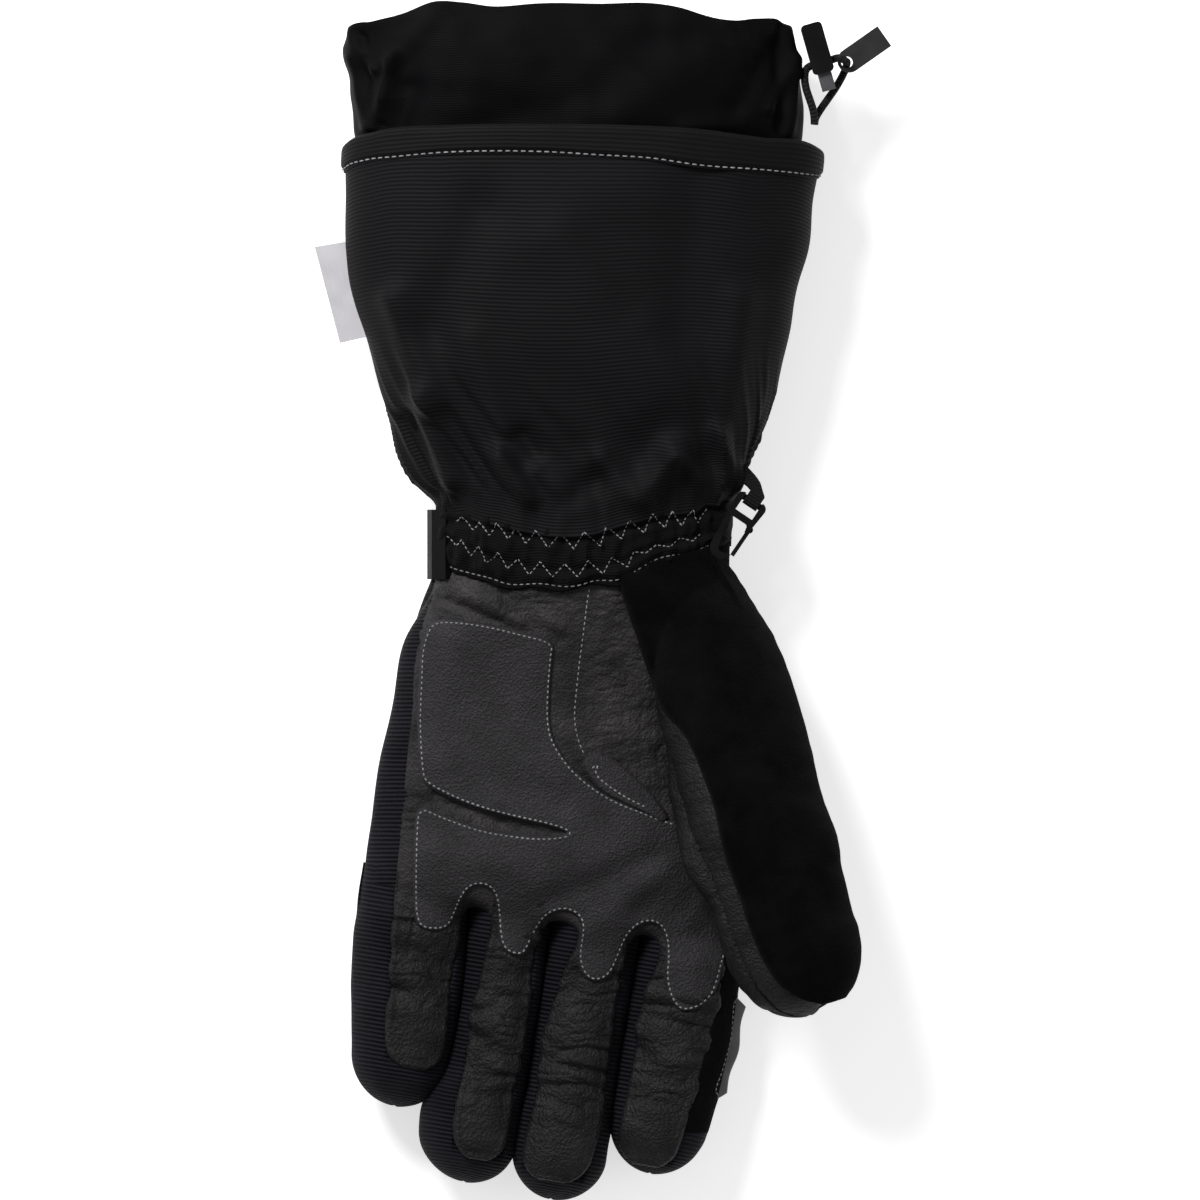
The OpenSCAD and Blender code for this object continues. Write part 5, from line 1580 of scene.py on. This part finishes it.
leaves = np.concatenate([top * (1 - v[..., None]) + low * v[..., None], (lift + rise)[..., None]], 2)
label = cloth("side_label_satin", leaves, satin, 0.2)
stands_for(label, "label_satin", "label")
print("label:", len(label.data.polygons), "faces")

# %% The strap over the back
STRAP_MIDDLE, STRAP_HALF = 20, 12
y = np.linspace(STRAP_MIDDLE + STRAP_HALF, STRAP_MIDDLE - STRAP_HALF, 30)
place, angle = mesh_of(y, np.radians(196), np.radians(332), 150)
away = STRAP_HALF - np.abs(place - STRAP_MIDDLE)
grid = lifted(hand_ring(place, angle, -2.2), 0.25 - 0.25 * np.exp(-away / 0.6))
grid[..., 2] = np.maximum(grid[..., 2], 0.4)    # it lies on the floor
strap = cloth("back_strap_webbing", grid, webbing, 1.4)
stands_for(strap, "webbing", "wrist_strap")
print("strap:", 2 * STRAP_HALF, "mm wide")

# %% The hook's webbing
HOOK_BAR, HOOK_TURN = np.array([50.6, 32.6, 38]), np.radians(-34)
TAIL_END = np.array([43.4, 46.3, 33.5])        # where the tail is sewn into the side seam
LOOP_RADIUS, LOOP_HALF_WIDTH, LEG = 2.0, 2.7, 4.5
SEAM_TURN = np.radians(30)                     # how the tail lies at the seam
down = np.array([-np.sin(HOOK_TURN), np.cos(HOOK_TURN), 0])
up = np.array([0, 0, 1])
turn = np.radians(np.arange(90, 271, 15))
loop = HOOK_BAR + LOOP_RADIUS * (np.cos(turn)[:, None] * down + np.sin(turn)[:, None] * up)
leg = HOOK_BAR + down * LEG
over_bar, under_bar = [TAIL_END + 1.1 * up, leg + 1.3 * up], [leg - 1.3 * up, TAIL_END - 1.1 * up]
route = walk(np.concatenate([over_bar, loop, under_bar]), 0.35, round_off=1)
near_bar = step(10, 3, np.linalg.norm(route - HOOK_BAR, axis=1))[:, None]
lean = HOOK_TURN * near_bar + SEAM_TURN * (1 - near_bar)
side = np.concatenate([np.cos(lean), np.sin(lean), 0 * lean], 1)
u = np.linspace(LOOP_HALF_WIDTH, -LOOP_HALF_WIDTH, 15)[None, :, None]
tail = cloth("hook_webbing_loop", route[:, None] + side[:, None] * u, webbing, 0.8)
stands_for(tail, "webbing", "hook_webbing")
print("webbing:", len(route), "rows along its loop and tail")

# %% [markdown]
# ## Finishes of the hard parts
# The hook and its gate, the cord lock, the strap's tab and the pull tab keep the CAD model's own
# shape. Each only gets its finish.

# %% Hard parts
HARD_FINISHES = {
    "hook_body": black_plastic, "hook_gate": black_plastic, "strap_tab": tab_plastic,
    "cord_lock_body": black_plastic, "cord_lock_button": grey_plastic,
    "cord_lock_spring": spring_steel, "cord_pull": pull_rubber,
}
for node, hard_finish in HARD_FINISHES.items():
    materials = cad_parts[node].data.materials
    materials.clear()
    materials.append(hard_finish)
print("finished", ", ".join(HARD_FINISHES))

# %% [markdown]
# ## Light and floor
# A wide soft lamp stands above, to the left and beyond the cuff, a weak second one to the right,
# and the world fills the rest. The floor is white to the camera, and its shadow is kept: its white
# surface takes the shadow, and adds plain white light that only the camera and mirrors see.

# %% The studio
def softbox(name, place, size, power):
    """A round lamp of that size in metres and power in watts, turned to the glove's middle."""
    light = bpy.data.lights.new(name, "AREA")
    light.shape, light.size, light.energy = "DISK", size, power
    lamp = bpy.data.objects.new(name, light)
    lamp.location = place
    aim = np.array([0, 0, 0.02]) - np.array(place)
    lamp.rotation_euler = (np.arctan2(np.hypot(aim[0], aim[1]), -aim[2]), 0,
                           np.arctan2(-aim[0], aim[1]))
    scene.collection.objects.link(lamp)


WORLD_LIGHT, FLOOR_GLOW = 0.26, 0.6
softbox("key", (-0.55, 0.85, 0.95), 0.5, 19)
softbox("fill", (0.9, -0.2, 0.9), 0.8, 1.8)

world = bpy.data.worlds.new("studio")
world.use_nodes = True
background = world.node_tree.nodes["Background"]
background.inputs["Color"].default_value = (1, 1, 1, 1)
background.inputs["Strength"].default_value = WORLD_LIGHT
scene.world = world

FLOOR_HALF = 1.5
corners = FLOOR_HALF * np.array([[-1, -1, 0], [1, -1, 0], [1, 1, 0], [-1, 1, 0]])
floor_white, start, to = finish("floor_white", 0.9, specular=0.0)
to["Base Color"].default_value = (0.9, 0.9, 0.9, 1)
SEES_WHITE = ["Is Camera Ray", "Is Glossy Ray", "Is Transmission Ray"]
rays = [start.make("ShaderNodeLightPath", out=kind) for kind in SEES_WHITE]
white = start.make("ShaderNodeClamp", Value=rays[0] + rays[1] + rays[2])
link(start.make("ShaderNodeCombineColor", i0=white, i1=white, i2=white), to["Emission Color"])
to["Emission Strength"].default_value = FLOOR_GLOW
mesh = bpy.data.meshes.new("floor")
mesh.from_pydata(corners.tolist(), [], [(0, 1, 2, 3)])
floor = bpy.data.objects.new("floor", mesh)
floor.data.materials.append(floor_white)
scene.collection.objects.link(floor)
print("floor", 2 * FLOOR_HALF, "m wide")
